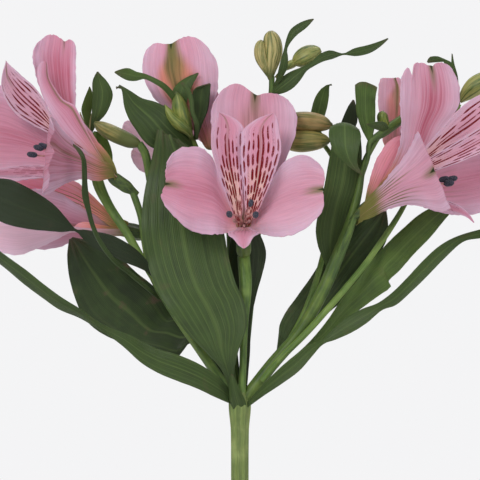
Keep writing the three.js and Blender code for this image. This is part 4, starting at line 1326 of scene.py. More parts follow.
LEFT_PETALS = (
    Petal(Tepal.OUTER_TOP, (
        (-51.2, -1, 92, -48.4, -1, 89.6), (-57.5, -3, 96.8, -51.2, -1, 96.8, 0.5),
        (-64.7, -4, 103.9, -56.4, -1, 103.6, 0.5), (-71.1, -4, 111.9, -62.4, -1, 111.8),
        (-76.3, -4, 119.5, -65.4, -1, 118, -1.5), (-79.9, -4, 126.3, -65.8, -1, 124, -2.2),
        (-82.1, -3.5, 133.1, -65.7, -1, 130.8, -2.5, 0.1), (-82.8, -3, 137.9, -65.6, -1, 136.8, -2, 0.15),
        (-81.8, -2.5, 142.5, -65.7, -1, 142.4, -1, 0.2),
    ), tip=(3.1, 0.05, 1.7), parting=0.42,
        look=PetalLook(rose=0.8, wide=0.45, depth=0.5, salmon=1, green=0.35, olive=0.5, foot=0.04)),
    Petal(Tepal.INNER_RIGHT, (
        (-52.7, -4, 92.8, -50.7, -4, 91.6), (-58.2, -8, 97.5, -55.9, -6, 98.7, 0.5),
        (-63.7, -11, 102.2, -59.4, -7, 105.1, 0.8), (-69.3, -12, 106.6, -63, -8, 112.2, 1),
        (-73.2, -12, 111, -66.2, -8, 118.2, 1.2), (-75.8, -12, 116.2, -70.8, -8, 121, 1.3),
        (-78.3, -11, 121.4, -74.2, -7.5, 125.8, 1.2), (-80.1, -10, 127, -76.2, -7, 129.4, 0.8),
        (-80.9, -9, 131.4, -76.6, -7, 132.2, 0.6), (-80.5, -8.5, 134.4, -76.6, -7.2, 134.2, 0.3),
        (-79.1, -8, 136, -77.2, -7.5, 135.9),
    ), PetalLook(midrib=0.8, depth=0.8, salmon=0.7, green=0.8, rose=0.5, foot=0.04, dim=0.1), parting=0.8),
    Petal(Tepal.INNER_LEFT, (
        (-54.4, 1, 95.2, -53.2, 1, 92.8), (-63.2, 1, 102.4, -62.4, 0, 97.6),
        (-69.7, 2, 108.8, -71.2, 0, 103.6, -0.5), (-75.3, 3, 114.5, -76.4, 1, 107.6, -1),
        (-78.9, 4, 121.3, -81.7, 2, 110.2, -1.5), (-82.8, 5, 126.5, -88.9, 3, 114.7, -1.8),
        (-86.8, 6, 130, -93.1, 4, 119.7, -1.5), (-90.6, 6, 133.4, -95.6, 5, 126.1, -1),
        (-92.4, 6, 135, -95.2, 5.5, 131.7, -0.4), (-94, 6, 136.8, -93.6, 6, 136.4),
    ), PetalLook(flecks=1, reach=0.84, cream=0.6, salmon=0.5, green=1.1, pale=0.4)),
    Petal(Tepal.OUTER_LEFT, (
        (-52.8, 2, 93.6, -52.4, 2, 90.4), (-60.9, 4, 99.3, -59.3, 3, 90.4, -1),
        (-69.8, 6, 106.1, -68.1, 4, 90, -2), (-78.7, 8, 113, -76.2, 6, 89.9, -3),
        (-87.1, 10, 120.6, -85.8, 7, 89.1, -3.5), (-95.6, 11, 126.7, -95.1, 8, 87.3, -3),
        (-102.1, 12, 125.9, -101.2, 9, 88.5, -2), (-106.1, 12, 121.1, -105.6, 10, 93.7, -1),
    ), PetalLook(rose=0.4, depth=0.4, salmon=0.7, green=0.5, olive=0.1), tip=(1.5, 0.2, 1.8)),
    Petal(Tepal.OUTER_RIGHT, (
        (-50.7, -3, 94, -50.3, -4, 89.6), (-56.6, -7, 97.1, -56.6, -8, 88.3, 1.5),
        (-62.1, -11, 100.6, -62.1, -12, 89.1, 2), (-66.8, -15, 104.2, -67.2, -16, 88.1, 2),
        (-70.7, -19, 108.5, -71.8, -20, 85.6, 1.5), (-73.3, -22, 112.8, -75.3, -24, 83.8, 0.5),
        (-75.1, -24, 113.5, -78.3, -27, 82.4), (-73.3, -29, 110.3, -76.2, -31, 86.1, -1),
    ), tip=(0.5, 0.3, 0.5), tears=((-0.5, 3, 0.2), (-0.1, -1.5, 0.2), (0.4, 1.5, 0.2)), parting=-0.3,
        look=PetalLook(midrib=0.4, rose=0.6, depth=1, salmon=1, green=0.2, olive=0.8, foot=0.03, dim=0.7)),
    Petal(Tepal.INNER_LOW, (
        (-52, -2, 92, -51.6, -2, 90), (-61.5, -3, 93.6, -61.5, -3, 90), (-71.9, -4, 94.4, -71.9, -4, 89.6),
        (-81.5, -4.5, 94.7, -81.5, -4.5, 89.8), (-90.2, -5, 94.3, -90.6, -5, 89.6),
        (-97.4, -5, 93.1, -97.4, -5, 90.3), (-103.8, -5, 92.3, -103.8, -5, 91.7),
    ), PetalLook(flecks=0.6, depth=0.7, salmon=0.5)),
)

RIGHT_PETALS = (
    Petal(Tepal.OUTER_TOP, (
        (50.3, -4, 80, 53.5, -4, 79.2), (55.9, -4, 87.2, 61.6, -2, 84.8),
        (61.1, -3, 95.6, 69.6, -1, 92.8, -0.5), (64.1, -3, 104, 76.4, 0, 101.2, -1.5),
        (64.5, -2.5, 112, 81.6, 1, 110, -2.5), (64.1, -2, 118.8, 87.2, 1, 117.6, -2.8),
        (64.2, -1.5, 124.8, 88, 1, 123.6, -2.8), (64.4, -1, 129.2, 87, 1, 128.8, -2, 0.15),
        (65.6, 0, 132.2, 84.8, 1, 133.4, -1, 0.12),
    ), tip=(2.4, -0.2, 2), tears=((-0.66, 5, 0.08),), parting=0.16, look=PetalLook(
        rose=0.95, wide=0.12, depth=0.45, salmon=1, green=0.9, olive=0.2, pale=0.2, dim=0.15
    )),
    Petal(Tepal.OUTER_LEFT, (
        (45.2, 1.5, 75, 46.4, 1.5, 70.6), (48.3, -5.5, 78.2, 48.7, -5.5, 72.2, 0.6),
        (52.2, -10.5, 82.7, 52.6, -10.5, 74, 2), (56.9, -15, 87.5, 58.8, -15, 76.9, 2.5),
        (61.1, -18.5, 92.6, 65.9, -18.5, 78.7, 2.5), (64.7, -21, 97.3, 71.4, -22, 78.3, 2),
        (67.6, -23, 102.3, 76.8, -25, 76.7, 1.2), (69.5, -25, 106.2, 80.7, -28, 75.9, 0.5),
        (70.6, -26.5, 107.7, 82.8, -30, 77.2),
    ), tip=(0.4, 0.2, 0.4), clawed=False,
        look=PetalLook(rose=0.1, depth=0.4, salmon=0.8, green=1, olive=2, foot=0.24, pale=0.2, dim=0.3)),
    Petal(Tepal.OUTER_LEFT, (
        (49.6, 0, 78.4, 51.2, 0, 77.6), (51.6, 0, 87.6, 57.6, -1, 80.8, 1), (54.8, 0, 97.2, 63.2, -1, 88, 1),
        (58.8, 0.5, 103.4, 67.2, 0, 96.8, 1), (63.2, 1, 106.4, 68.8, 1, 102.4, 0.5),
        (66.4, 1.5, 106.4, 69.6, 1.5, 104.8),
    ), PetalLook(depth=0.3, salmon=0.6, olive=0.5, coral=0.75), clawed=False),
    Petal(Tepal.INNER_RIGHT, (
        (67.1, -5, 95.1, 68.7, -5, 92.3), (73.9, -5, 101.9, 76.6, -5, 96.7, -0.6),
        (79.3, -4.5, 108.1, 83.8, -5, 100.3, -1), (84.9, -3.5, 114.3, 91, -4.5, 103.1, -1.3),
        (90.5, -2, 119.6, 97.4, -4, 106.7, -1.4), (96, -1, 123, 102.7, -3, 112.3, -1.2),
        (101.6, 0, 124.8, 104.7, -1.5, 119.6, -0.6), (105, 0.5, 126, 105.8, 0.5, 125),
    ), PetalLook(flecks=1, reach=0.84, cream=0.4, salmon=0.5, green=0.6, pale=0.3)),
    Petal(Tepal.INNER_LEFT, (
        (68.6, -8, 92.3, 70.2, -8, 89.9), (75.7, -9, 97.5, 78.9, -9, 92.7, -0.5),
        (82.5, -10, 101.5, 85.7, -10, 95.1, -0.8), (88.8, -10.5, 105.4, 92.4, -10.5, 97.9, -1),
        (95.2, -11, 109.4, 99.2, -11, 101.4, -1), (100.8, -11, 112.2, 103.1, -11, 107, -0.5),
        (104.3, -11, 113.2, 105.1, -11, 112.2),
    ), PetalLook(flecks=1, reach=0.84, cream=0.4, salmon=0.5, green=0.6, pale=0.3)),
    Petal(Tepal.OUTER_RIGHT, (
        (64, -1, 88, 64.8, -1, 82.8), (71.2, 1, 92.8, 73.6, -1, 78, -1), (78.5, 3, 97.6, 82.4, 0, 75.4, -2),
        (85.8, 5, 100.9, 90.4, 1, 75, -2.5), (93.1, 7, 102.5, 97.7, 2, 76.2, -2.5),
        (100.3, 8, 101.7, 103.4, 4, 79.6, -1.5), (104.8, 9, 98.1, 105.5, 6, 84, -0.5),
    ), PetalLook(rose=0.3, depth=0.3, salmon=0.5, green=0.5, olive=0.4), tip=(1.5, 0.2, 1.5)),
    Petal(Tepal.INNER_LOW, (
        (65.4, -8, 82.3, 66.2, -8, 80), (73.2, -12, 81.9, 73.2, -12, 78.3, -0.5),
        (81.1, -14.5, 80.7, 80.3, -14.5, 77.1, -0.6), (87.1, -15.5, 78.5, 85.9, -15.5, 75.3, -0.4),
        (91, -15.8, 75.3, 90, -15.8, 73.9), (93.2, -16, 71.8, 92.8, -16, 71.6),
    ), PetalLook(flecks=0.8, cream=0.5, salmon=0.6, green=0.3)),
)

LOW_LEFT_PETALS = (
    Petal(Tepal.OUTER_TOP, (
        (-45.2, 22, 72.1, -45.6, 22, 68), (-52, 21.5, 75.5, -52.4, 21, 69, 0.8),
        (-58.5, 21, 81.7, -59.3, 20.5, 69.2, 1.2), (-65.3, 21, 87.8, -66.5, 20, 70, 1.5),
        (-73.4, 21, 91.4, -74.6, 20, 71.7, 1.5), (-81.5, 21.5, 93.4, -83.1, 20, 74.9, 1.2),
        (-89.6, 22, 93.9, -91.6, 21, 78.5, 0.8), (-97.7, 22.5, 93.1, -99.3, 22, 81.7, 0.4),
        (-102.9, 23, 91, -103.7, 23, 84.6),
    ), tip=(0.5, 0.2, 0.5),
        # Painted light lifts this petal out of the shadow of the blooms above it.
        look=PetalLook(depth=0.3, rose=0.1, salmon=1, olive=0.8, coral=0.5, pale=0.2, dim=-2.6)),
    Petal(Tepal.OUTER_LEFT, (
        (-45.1, 19.5, 69.2, -45.1, 19.5, 66.4), (-52.4, 18.5, 69.2, -52.8, 18.5, 66.6, 0.6),
        (-60, 17.5, 69.4, -60.4, 17.5, 67, 0.8), (-66.9, 17, 70, -67.7, 17, 68, 1),
        (-73.7, 16.5, 72, -73.7, 16.5, 65.2, 1.2), (-81.3, 16, 73.7, -81.7, 16, 61.4, 1.2),
        (-89, 16, 74.5, -89, 16, 58.8, 1), (-96.2, 16.5, 74.5, -96.6, 16.5, 60, 0.8),
        (-103.1, 17, 72.5, -103.9, 17, 62.8, 0.3), (-107.5, 17.5, 69.6, -108, 17.5, 65.6),
    ), PetalLook(depth=0.1, rose=0, salmon=0.3, green=0.4, pale=0.7, dim=-0.4), tip=(0.6, 0.2, 0.6)),
)

BACK_LEFT_PETALS = (
    Petal(Tepal.OUTER_TOP, (
        (-13.3, 14, 101.4, -10.9, 14, 101.8), (-17.7, 14, 107.8, -11.3, 14, 109.9, 0.6),
        (-27.8, 14, 115.9, -10.5, 14, 118.3, 1.6), (-35.2, 14.5, 122.7, -9.1, 14.5, 125.1, 3),
        (-39, 15, 131.6, -8.8, 15, 130.8, 3), (-39.2, 16, 136.5, -9.5, 16, 136.5, 2.4),
        (-37.5, 17, 141.3, -12.5, 17, 141.7, 1, -0.06),
    ), tip=(3.1, 2.6, 6), tears=((0.5, 0.9, 0.03),), parting=-0.2,
        look=PetalLook(bronze=1, midrib=0.2, depth=0.3, salmon=0.9, green=1.3, olive=0.8, pale=0.15)),
)

HIDDEN_LEFT_PETALS = (
    Petal(Tepal.OUTER_TOP, (
        (-30, 33, 100.9, -32.4, 33, 95.6), (-36.5, 34, 106.6, -38.1, 34, 98.9, -0.5),
        (-41.8, 35, 111.6, -43, 35, 101.3, -0.8), (-45.4, 36, 113.3, -46.9, 36, 105.8, -0.5),
        (-46.9, 36.5, 112.5, -47.7, 36.5, 109),
    ), tip=(0.4, 0.2, 0.4),
        look=PetalLook(depth=0.1, salmon=0.3, rose=0, olive=0.3, green=0.2, pale=0.8, dim=-0.9)),
    Petal(Tepal.OUTER_RIGHT, (
        (-28.8, 33, 97.2, -29.2, 33, 92), (-34.5, 34, 102.1, -35.7, 34, 91.6, -0.5),
        (-38.9, 35, 102.9, -39.7, 35, 92.6, -0.8), (-42.2, 36, 102.3, -42.6, 36, 95.2, -0.5),
        (-43.8, 36.5, 100.9, -43.9, 36.5, 98.3),
    ), tip=(0.4, 0.2, 0.4),
        look=PetalLook(depth=0.1, salmon=0.3, rose=0, olive=0.3, green=0.2, pale=0.8, dim=-0.9)),
)

BACK_RIGHT_PETALS = (
    Petal(Tepal.OUTER_TOP, (
        (61.6, 18, 95.8, 64.1, 18, 95.8), (58, 18, 103.5, 64.1, 18, 103.1, 0.5),
        (56.4, 18, 110.7, 64.9, 18, 110.3, 0.8), (56, 18, 116.8, 65.7, 18, 116.4, 1),
        (55.8, 18, 122, 66.1, 18, 121.6, 1.1), (55.9, 18.5, 126.9, 66.1, 18.5, 126.5, 1),
        (56.6, 19, 129.8, 64.5, 19, 129.9, 0.3),
    ), tip=(0.2, 0, 0.4), parting=0.5, look=PetalLook(
        bronze=0.7, midrib=0.6, depth=0.3, salmon=0.9, green=1, olive=0.4, coral=0.2, pale=0.3, dim=-0.4
    )),
)

BLOOMS = (
    Bloom(
        "front", foot=(1.5, 0.5, 64.5), axis=(0, -0.72, 0.69), spread=18, petals=FRONT_PETALS,
        anthers=((-4.2, -24, 75), (4.3, -25, 79.4), (6.2, -23, 74.8)),
        young=((-2.2, -14, 72.5), (3.6, -14, 72.2), (1.6, -17, 70.2)),
    ),
    Bloom(
        "left", foot=(-49, 0, 88.5), axis=(-0.82, -0.12, 0.56), spread=18, petals=LEFT_PETALS,
        anthers=((-80.4, -6, 101.6), (-78.4, -5, 102.4), (-83, -4, 98.9)), ovary=0.82,
    ),
    Bloom(
        "right", foot=(51, -4, 77.5), axis=(0.78, -0.25, 0.57), spread=18, petals=RIGHT_PETALS,
        anthers=((81.2, -12, 89), (84.5, -12, 89.2), (83.1, -14, 87.4)), ovary=0.72,
    ),
    Bloom("low_left", foot=(-46, 24, 69), axis=(-0.95, 0.1, 0.25), spread=11, petals=LOW_LEFT_PETALS),
    Bloom(
        "back_left", foot=(-8, 20, 101), axis=(-0.45, 0.45, 0.8), spread=7, petals=BACK_LEFT_PETALS,
        size=0.7,
    ),
    Bloom(
        "hidden_left", foot=(-22, 30, 88), axis=(-0.2, 0.95, 0.2), spread=8, petals=HIDDEN_LEFT_PETALS,
        size=0.6,
    ),
    Bloom(
        "back_right", foot=(62, 19, 93), axis=(0.3, 0.45, 0.85), spread=8, petals=BACK_RIGHT_PETALS,
        size=0.75,
    ),
)


@dataclass
class Leaf:
    """One leaf: its edges, its tone with painted light and shade, how many veins it has and how worn it is.

    A leaf with no node of its own is shown beside the nodes.
    """

    name: str
    rows: tuple[Row, ...]
    facing: Place = TO_FRONT
    tip: Place = NO_TIP
    wave: float = 0.15
    # Its own green together with painted shade (low values) and painted light (high values).
    tone: float = 0.3
    veins: float = 7.0
    worn: float = 0.2
    has_node: bool = True

    def dress(self, finishes: Finishes, number: int) -> None:
        """Builds the leaf, with pleats if it is broad, and gives it its finish."""
        width = max(math.dist(row[0:3], row[3:6]) for row in self.rows)
        blade = Blade(
            name=f"{self.name}_blade",
            rows=self.rows,
            facing=self.facing,
            tip=self.tip,
            wave=self.wave,
            tooth=0.02,
            pleat=0.12 if width > 12 else 0.0,
            pleats=min(9, int(self.veins)),
            cells=int(min(34, max(10, width * 1.4))),
            thickness=0.5,
            seed=number,
        )
        piece = mark(blade.build(), seed=2.3 * number, tone=self.tone, veins=self.veins, worn=self.worn)
        dress(smooth(piece), finishes.leaf, Slot.LEAF, *((self.name,) if self.has_node else ()))


LEAVES = (
    Leaf("leaf_front_left", (
        (-4, -3.8, 3.7, -1.6, -3.8, 3.3), (-7.2, -5, 12.9, -2.4, -5, 11.7, 0.4),
        (-13.6, -6, 20.1, -0.8, -7, 20.1, 0.8), (-20.3, -7, 26.9, 2.6, -7, 30.5, 1),
        (-27.1, -7, 35.7, 1.6, -6, 40.1, 1.2), (-32.3, -6, 43.7, -1.6, -5, 47.2, 1.4),
        (-36.3, -4, 53.6, -4.2, -3, 56, 1.5), (-38.8, -2, 64.8, -6.2, -2, 66.4, 1.5),
        (-39.2, -1, 75.6, -8.4, -1, 78.4, 1.5), (-37.6, 0.5, 87.2, -11.2, 0.5, 89.2, 1.3),
        (-35.4, 1.5, 96.8, -14.8, 1.5, 97.6, 1), (-33.8, 1, 105.6, -20.8, 2, 102.4, 0.5),
        (-33.2, 1, 109, -24, 2, 104.4), (-31.7, 5, 106.5, -26.5, 5, 102.1),
    ), wave=0.9, tone=0.36, veins=12, worn=0.2),
    Leaf("leaf_broad_left", (
        (-5.6, 2.6, 8.3, -4.4, 2.6, 9.9), (-10.8, 5.5, 15.1, -9.2, 5.5, 17.1),
        (-16.1, 8, 22.3, -14, 8, 24.7), (-20.9, 9.5, 23.2, -18.1, 9.5, 29.1, 0.2),
        (-25.7, 10.5, 17.8, -21.7, 10.5, 33.5, 0.8), (-34.1, 10.8, 19.8, -24.1, 10.8, 35.1, 1),
        (-45, 11, 22.8, -27.3, 11, 34.5, 1.2), (-55, 11, 27, -33.7, 11, 45.1, 1.4),
        (-61.9, 10.5, 32.7, -41.4, 10.5, 51.5, 1.4), (-66.3, 10, 41.5, -49, 10, 58.4, 1.2),
        (-68.8, 9, 52, -55.8, 9, 61.8, 1), (-69.2, 8, 59.2, -61.6, 8, 64.8, 0.5), (-68.4, 7, 65, -67, 7, 66),
    ), wave=0.8, tone=0.16, veins=3, worn=0.7),
    Leaf("leaf_long_left", (
        (-3.2, -2, 4, -3.6, -3, -0.7), (-8.8, -6, 10.1, -10, -8, 2.2, 0.4),
        (-15.9, -9, 15, -16.7, -12, 5.5, 0.8), (-23.9, -10, 18.6, -24.7, -14, 8.7, 1),
        (-31.9, -11, 21.2, -32.6, -15, 11.9, 1), (-38.6, -12, 24.2, -39.4, -15, 15.9, 0.8),
        (-44.6, -13, 27.2, -46.1, -14, 22.2, 0.6), (-50.9, -14, 29.6, -52.1, -13, 26.8, 0.4),
        (-57.7, -15, 33.2, -58.9, -13, 31, 0.3), (-63.6, -15.5, 37.4, -64.5, -12, 34.1, 0.5),
        (-70.7, -16, 41.7, -71.7, -12, 37.3, 0.8), (-77.9, -16, 47.1, -78.4, -12, 41.9, 0.9),
        (-85.9, -15.5, 53.5, -86.4, -11.5, 47.9, 0.9), (-95.5, -14, 60.5, -95.6, -10.5, 55.2, 0.8),
        (-105.4, -13, 67.6, -106, -10, 63.6, 0.4), (-115.1, -11, 73.2, -115.5, -11, 72.4),
    ), wave=0.4, tone=0.36, veins=7, worn=0.3),
    Leaf("leaf_twisted_left", (
        (-34, -1, 50.8, -34.4, -1, 49.2), (-37.6, -3, 56.8, -37.1, -4, 52, 0.3),
        (-41.9, -5, 61.2, -41.1, -7, 54, 0.5), (-46.7, -7, 64.4, -46.2, -9, 56.2, 0.7),
        (-51.8, -8, 66.8, -50.6, -10, 58.4, 0.7), (-57, -9, 68, -55.8, -10.5, 60.6, 0.6),
        (-61.8, -10, 68.8, -60.9, -10.5, 63.6, 0.4), (-65.5, -10.5, 69.1, -65.3, -10.5, 68.2),
        (-69.3, -10.5, 73.4, -70.9, -11, 68.1, 0.5), (-73.5, -10, 78.1, -77.2, -12, 68.6, 0.9),
        (-78.9, -9.5, 82.3, -84.4, -12.5, 69.3, 1.2), (-86.9, -9, 86.8, -91.5, -12.5, 70.6, 1.2),
        (-92.5, -8.5, 89, -97.1, -12, 73.2, 1), (-101.7, -8.5, 88.7, -103.5, -11, 77.9, 0.6),
        (-110, -9, 85.5, -110.8, -10, 81.5, 0.2), (-114.4, -9.5, 83.3, -114.6, -9.5, 82.7),
    ), wave=0.4, tone=-0.25, veins=7, worn=0.1),
    Leaf("leaf_curled_left", (
        (-32.4, 0, 42, -32.4, 0, 40.8), (-38.7, -5, 48, -39.1, -7, 46.5, 0.2),
        (-44.8, -9, 53.2, -45.2, -12, 51.7, 0.2), (-49.7, -13, 57.2, -50.3, -15, 55.7, 0.2),
        (-53.3, -15.5, 62, -54.2, -17, 60.4, 0.2), (-55.8, -17.5, 66, -57, -19, 65, 0.2),
        (-58, -18.5, 71.2, -59.3, -20, 70.4, 0.3), (-59.3, -19, 76.7, -60.9, -21, 76.3, 0.3),
        (-60.2, -20, 82.7, -62.6, -22, 82.2, 0.4), (-60.8, -20.5, 88.6, -62.5, -23, 88.2, 0.3),
        (-61, -21.5, 94.5, -62.6, -23.5, 94.1, 0.3), (-61.7, -22, 98.1, -62.8, -24, 97.1, 0.2),
        (-63.6, -22.5, 101.1, -64.4, -23.5, 99.9, 0.1), (-66.2, -23, 102.9, -66.2, -23, 102.1),
    ), tone=0.25, veins=5, worn=0.1),
    Leaf("leaf_upper_left", (
        (-18.9, 10.6, 101, -17.7, 10.6, 102.6), (-24.1, 9.5, 100.5, -19.3, 9.5, 105, 0.4),
        (-31.3, 8, 100.5, -21.7, 8.5, 108.9, 0.8), (-37.3, 6.5, 103.3, -24.9, 7.5, 113.7, 1.2),
        (-41.7, 5.2, 109.1, -28.9, 6.5, 117.5, 1.4), (-44.7, 4.2, 113.7, -34.1, 5.5, 120.1, 1.2),
        (-46.3, 3.6, 118.5, -39.3, 4.6, 121.5, 0.8), (-46.9, 3.2, 122.9, -43.7, 3.6, 124.3, 0.4),
        (-47.5, 2.8, 125.3, -46.3, 2.8, 125.9, 0.1), (-48.8, 2.2, 125.7, -48.2, 2.2, 126.9),
        (-49.6, 1.6, 126.2, -49.4, 1.6, 125.2),
    ), wave=0.3, tone=0.32, veins=7, worn=0.1),
    Leaf("leaf_folded_right", (
        (36.4, 1.5, 49.6, 37.4, 1.5, 50.4), (33.5, 4, 56.8, 38.9, 4, 60, 0.4),
        (31.3, 5, 62.8, 41.1, 5, 67.6, 0.8), (30.5, 5.8, 69.2, 43.7, 5.8, 74, 1.2),
        (31.9, 6.3, 77.6, 45.5, 6.3, 80, 1.4), (33.9, 6.5, 86.1, 47.7, 6.5, 86.1, 1.4),
        (35.5, 6.2, 95.3, 48.5, 6.2, 92.1, 1.4), (36.7, 5.6, 102.1, 48.7, 5.6, 100.1, 1.2),
        (36.9, 4.6, 108.5, 48.1, 4.6, 107.3, 1, 0, 1.5), (36.2, 1.2, 110, 47.6, 1.2, 108.8, 0.8, 0, 2.2),
        (35.6, -2.8, 106.4, 48.3, -2.8, 105.6, 0.8, 0, -1), (37.3, -4.4, 100.7, 47.3, -4.4, 101.1, 0.8),
        (41.7, -5, 95.5, 46.7, -5, 95.9, 0.4), (48.5, -5.2, 90.7, 48.9, -5.2, 90.5),
    ), wave=0.2, tone=0.46, veins=10, worn=0.1),
    Leaf("leaf_broad_right", (
        (14.4, 3, 17.9, 16.8, 3, 19.9), (15.4, 6, 25.5, 24.1, 6, 27.5, 0.5),
        (16.5, 9, 32.3, 32.9, 9, 33.5, 1), (21.7, 12, 40.1, 41.4, 12, 40.7, 1.2),
        (27.8, 14.5, 48.7, 47.5, 14.5, 47.9, 1.4), (33.8, 16, 57.6, 52.7, 16, 55.1, 1.4),
        (40.3, 17, 65.6, 57.6, 17, 62, 1.2), (47.1, 17.5, 72.1, 59.6, 17.5, 67.2, 0.8),
        (54, 17.5, 76.5, 59.4, 17.5, 72.5, 0.4), (58.2, 17.5, 77.5, 58.8, 17.5, 76.7),
    ), wave=0.7, tone=0.25, veins=11, worn=0.3),
    Leaf("leaf_lance_right", (
        (2.8, 1.8, 2, 3.2, 1.8, 0.8), (11.2, 2.5, 9.1, 12, 2.5, 7.1, 0.1),
        (20, 1.5, 16.8, 20.8, 1.5, 14.4, 0.1), (28.4, 1, 24.6, 29.6, 1, 22.4, 0.1),
        (34.8, 2.5, 32, 33.6, 2.5, 24, 0.4), (41.3, 5, 41.6, 42.1, 4.5, 32.5, 0.7),
        (47.3, 7, 48.8, 49.7, 6, 38.3, 0.9), (52.6, 9, 56, 55.8, 8, 42.7, 1),
        (54, 9.8, 57.6, 60.5, 9, 46.1, 1), (55.4, 10.2, 59.2, 59.4, 9.4, 48.1, 1),
        (60.3, 12, 64.4, 63.9, 11, 52.5, 1), (66, 14, 69.6, 70, 13, 59.4, 1),
        (72.1, 16, 74.9, 76.5, 15.5, 66, 0.8), (78.5, 17.5, 78.5, 82.6, 17.5, 73.3, 0.5),
        (85.4, 18.3, 81.7, 87.4, 18.3, 78.9, 0.2), (90.7, 18.5, 86.6, 91.1, 18.5, 86.2),
    ), wave=0.5, tone=0.72, veins=11, worn=0.2),
    Leaf("leaf_ribbon_right", (
        (2.4, -2.2, -0.7, 2.8, -2.2, -2.3), (8.8, -5, 6.5, 8.8, -6, 2.2, 0.3),
        (16, -7, 13.7, 16.3, -8, 7.2, 0.5), (22.3, -8, 19.1, 23.5, -9, 12.6, 0.5),
        (27.5, -8.5, 23.1, 28.7, -9.5, 18.4, 0.3), (31.9, -9, 24.5, 32.7, -10, 23),
        (37.1, -10, 29.3, 37.9, -9, 25.1, 0.3), (42.6, -10.5, 33.9, 44.6, -9.5, 28.1, 0.5),
        (48.6, -10.5, 37.3, 50.6, -10, 31.9, 0.5), (55, -10.5, 39.7, 56.6, -11, 36.9, 0.2),
        (60.6, -9.5, 43.7, 62.1, -11, 38.9, 0.4), (66.5, -9.5, 49.5, 68.5, -11, 44.5, 0.5),
        (72.9, -9.5, 56.4, 74.9, -11, 50.7, 0.5), (79.3, -9.5, 62.2, 81.2, -11, 57.2, 0.4),
        (86.1, -9.5, 66, 88.8, -10.5, 64, 0.2), (95.6, -9.5, 68.9, 96.4, -10.5, 65.6, 0.2),
        (104.8, -9, 70.4, 105.2, -9.5, 67.6, 0.1), (112, -9, 70.6, 112, -9, 70.2),
    ), tone=0.45, veins=6, worn=0.2),
    Leaf("leaf_behind_stalk", (
        (1.2, 1, 5.6, 2.8, 1, 6.4), (1.2, 4, 18.7, 4, 4, 19.9, 0.2), (0, 7, 30.7, 4.4, 7, 31.9, 0.6),
        (-2.4, 10, 42.3, 6.6, 10, 42.7, 1), (-4, 12, 52.7, 9.6, 12, 53.5, 1.2),
        (-4.4, 13, 60, 10.5, 13, 59.6, 1.2), (-3.6, 13, 65.6, 8.8, 13, 65.6, 0.8),
        (-0.8, 13, 72.8, 4.8, 13, 72.8, 0.4), (1.6, 13, 78.9, 2.4, 13, 78.9),
    ), tone=0.1, veins=8, worn=0.1),
    Leaf("leaf_tip_right", (
        (29.4, 19.4, 108.7, 31.8, 19.4, 108.7), (28.4, 19, 114, 33.7, 19, 113.6, 0.4),
        (29.2, 18.7, 118.8, 35.1, 18.7, 118.4, 0.5), (30.6, 18.5, 122.8, 35.8, 18.5, 122.8, 0.4),
        (32.6, 18.3, 125.6, 35.9, 18.3, 125.8, 0.2), (34.8, 18, 127.2, 36.1, 18, 127),
        (36.9, 18, 127.7, 37.1, 18, 127),
    ), tone=0.62, veins=5, worn=0),
    Leaf("leaf_dark_right", (
        (37.3, 18, 95.8, 38.3, 18, 96), (38.9, 17.3, 98.6, 40.5, 17.3, 98.8, 0.1),
        (39.5, 16.5, 102.2, 42.3, 16.5, 102.2, 0.3), (39, 15.5, 107.1, 44.3, 15.5, 106.3, 0.5),
        (41, 14, 112.7, 47.1, 14, 112.3, 0.6), (43.4, 12.5, 118.3, 46.8, 12.5, 117.5, 0.4),
        (45.4, 12, 121.3, 46, 12, 120.9),
    ), tone=-0.2, veins=6, worn=0),
    Leaf("leaf_blunt_right", (
        (51.2, 1.2, 104.4, 52.6, 1.2, 104.4), (49.2, 1.2, 108.4, 53.6, 0.5, 109.2, -0.8),
        (47.4, 1, 112.8, 54, 0, 113.2, -1.4), (46.5, 0.6, 118, 54, -0.4, 118.4, -1.6),
        (46.3, 0.5, 122.8, 54.2, -0.6, 122.8, -1.4, 0, 0.6),
        (46.1, 0.5, 127, 54.8, -0.6, 125.8, -0.6, 0, 1.2),
    ), wave=0.8, tip=(0.5, 0.4, 0.1), tone=0.62, veins=6, worn=0),
    Leaf("bract_at_whorl", (
        (-2, -2.4, -3.9, 1.6, -2.4, -3.9), (-3.4, -3.6, -1.1, 2.4, -3.6, -1.1, 0.6),
        (-4.2, -5.4, 1.7, 1.6, -5.4, 1.7, 0.8), (-4.3, -7.4, 5, 0, -7.4, 5, 0.8),
        (-4, -8.8, 8.6, -1.7, -8.8, 8.6, 0.5), (-3.5, -9.4, 11.4, -3.1, -9.4, 11.4),
    ), tone=0.4, veins=4, worn=0),
    Leaf("leaf_strip_left", (
        (-17.9, 9.4, 105.2, -16.9, 9.4, 105.2), (-17.8, 7, 108.5, -16.4, 7, 108.9, 0.1),
        (-18.2, 5.4, 111.3, -16.6, 5.4, 111.9, 0.2), (-19.8, 4.6, 116.1, -18.4, 4.6, 116.3, 0.3),
        (-20.3, 4.6, 120.5, -18.8, 4.6, 121.3, 0.3), (-21.8, 5, 124.3, -20.2, 5, 125.5, 0.2),
        (-23.7, 5.4, 127.7, -23, 5.4, 128.1),
    ), has_node=False, tone=0.5, veins=4, worn=0),
    Leaf("leaf_upright_top", (
        (13.4, 7.8, 126.6, 14.2, 7.8, 125.8), (14.8, 5, 130.1, 16.6, 5, 129.3, 0.2),
        (15.6, 2.6, 133.7, 18.8, 2.6, 133.7, 0.4), (16.8, 1.4, 138, 19.2, 1.4, 137.6, 0.3),
        (17.7, 1.4, 141.4, 18.8, 1.4, 141, 0.1), (18.6, 1.5, 145.2, 20.4, 1.5, 144.2, 0.2),
        (20.2, 1.8, 148.9, 23, 1.8, 147.1, 0.4), (23.2, 2.1, 151.3, 26.2, 2.1, 149.5, 0.4),
        (26.8, 2.3, 152.9, 28.4, 2.3, 151.7, 0.1), (29.4, 2.4, 153.4, 29.6, 2.4, 153.1),
    ), tone=0.34, veins=5, worn=0),
    Leaf("leaf_long_top", (
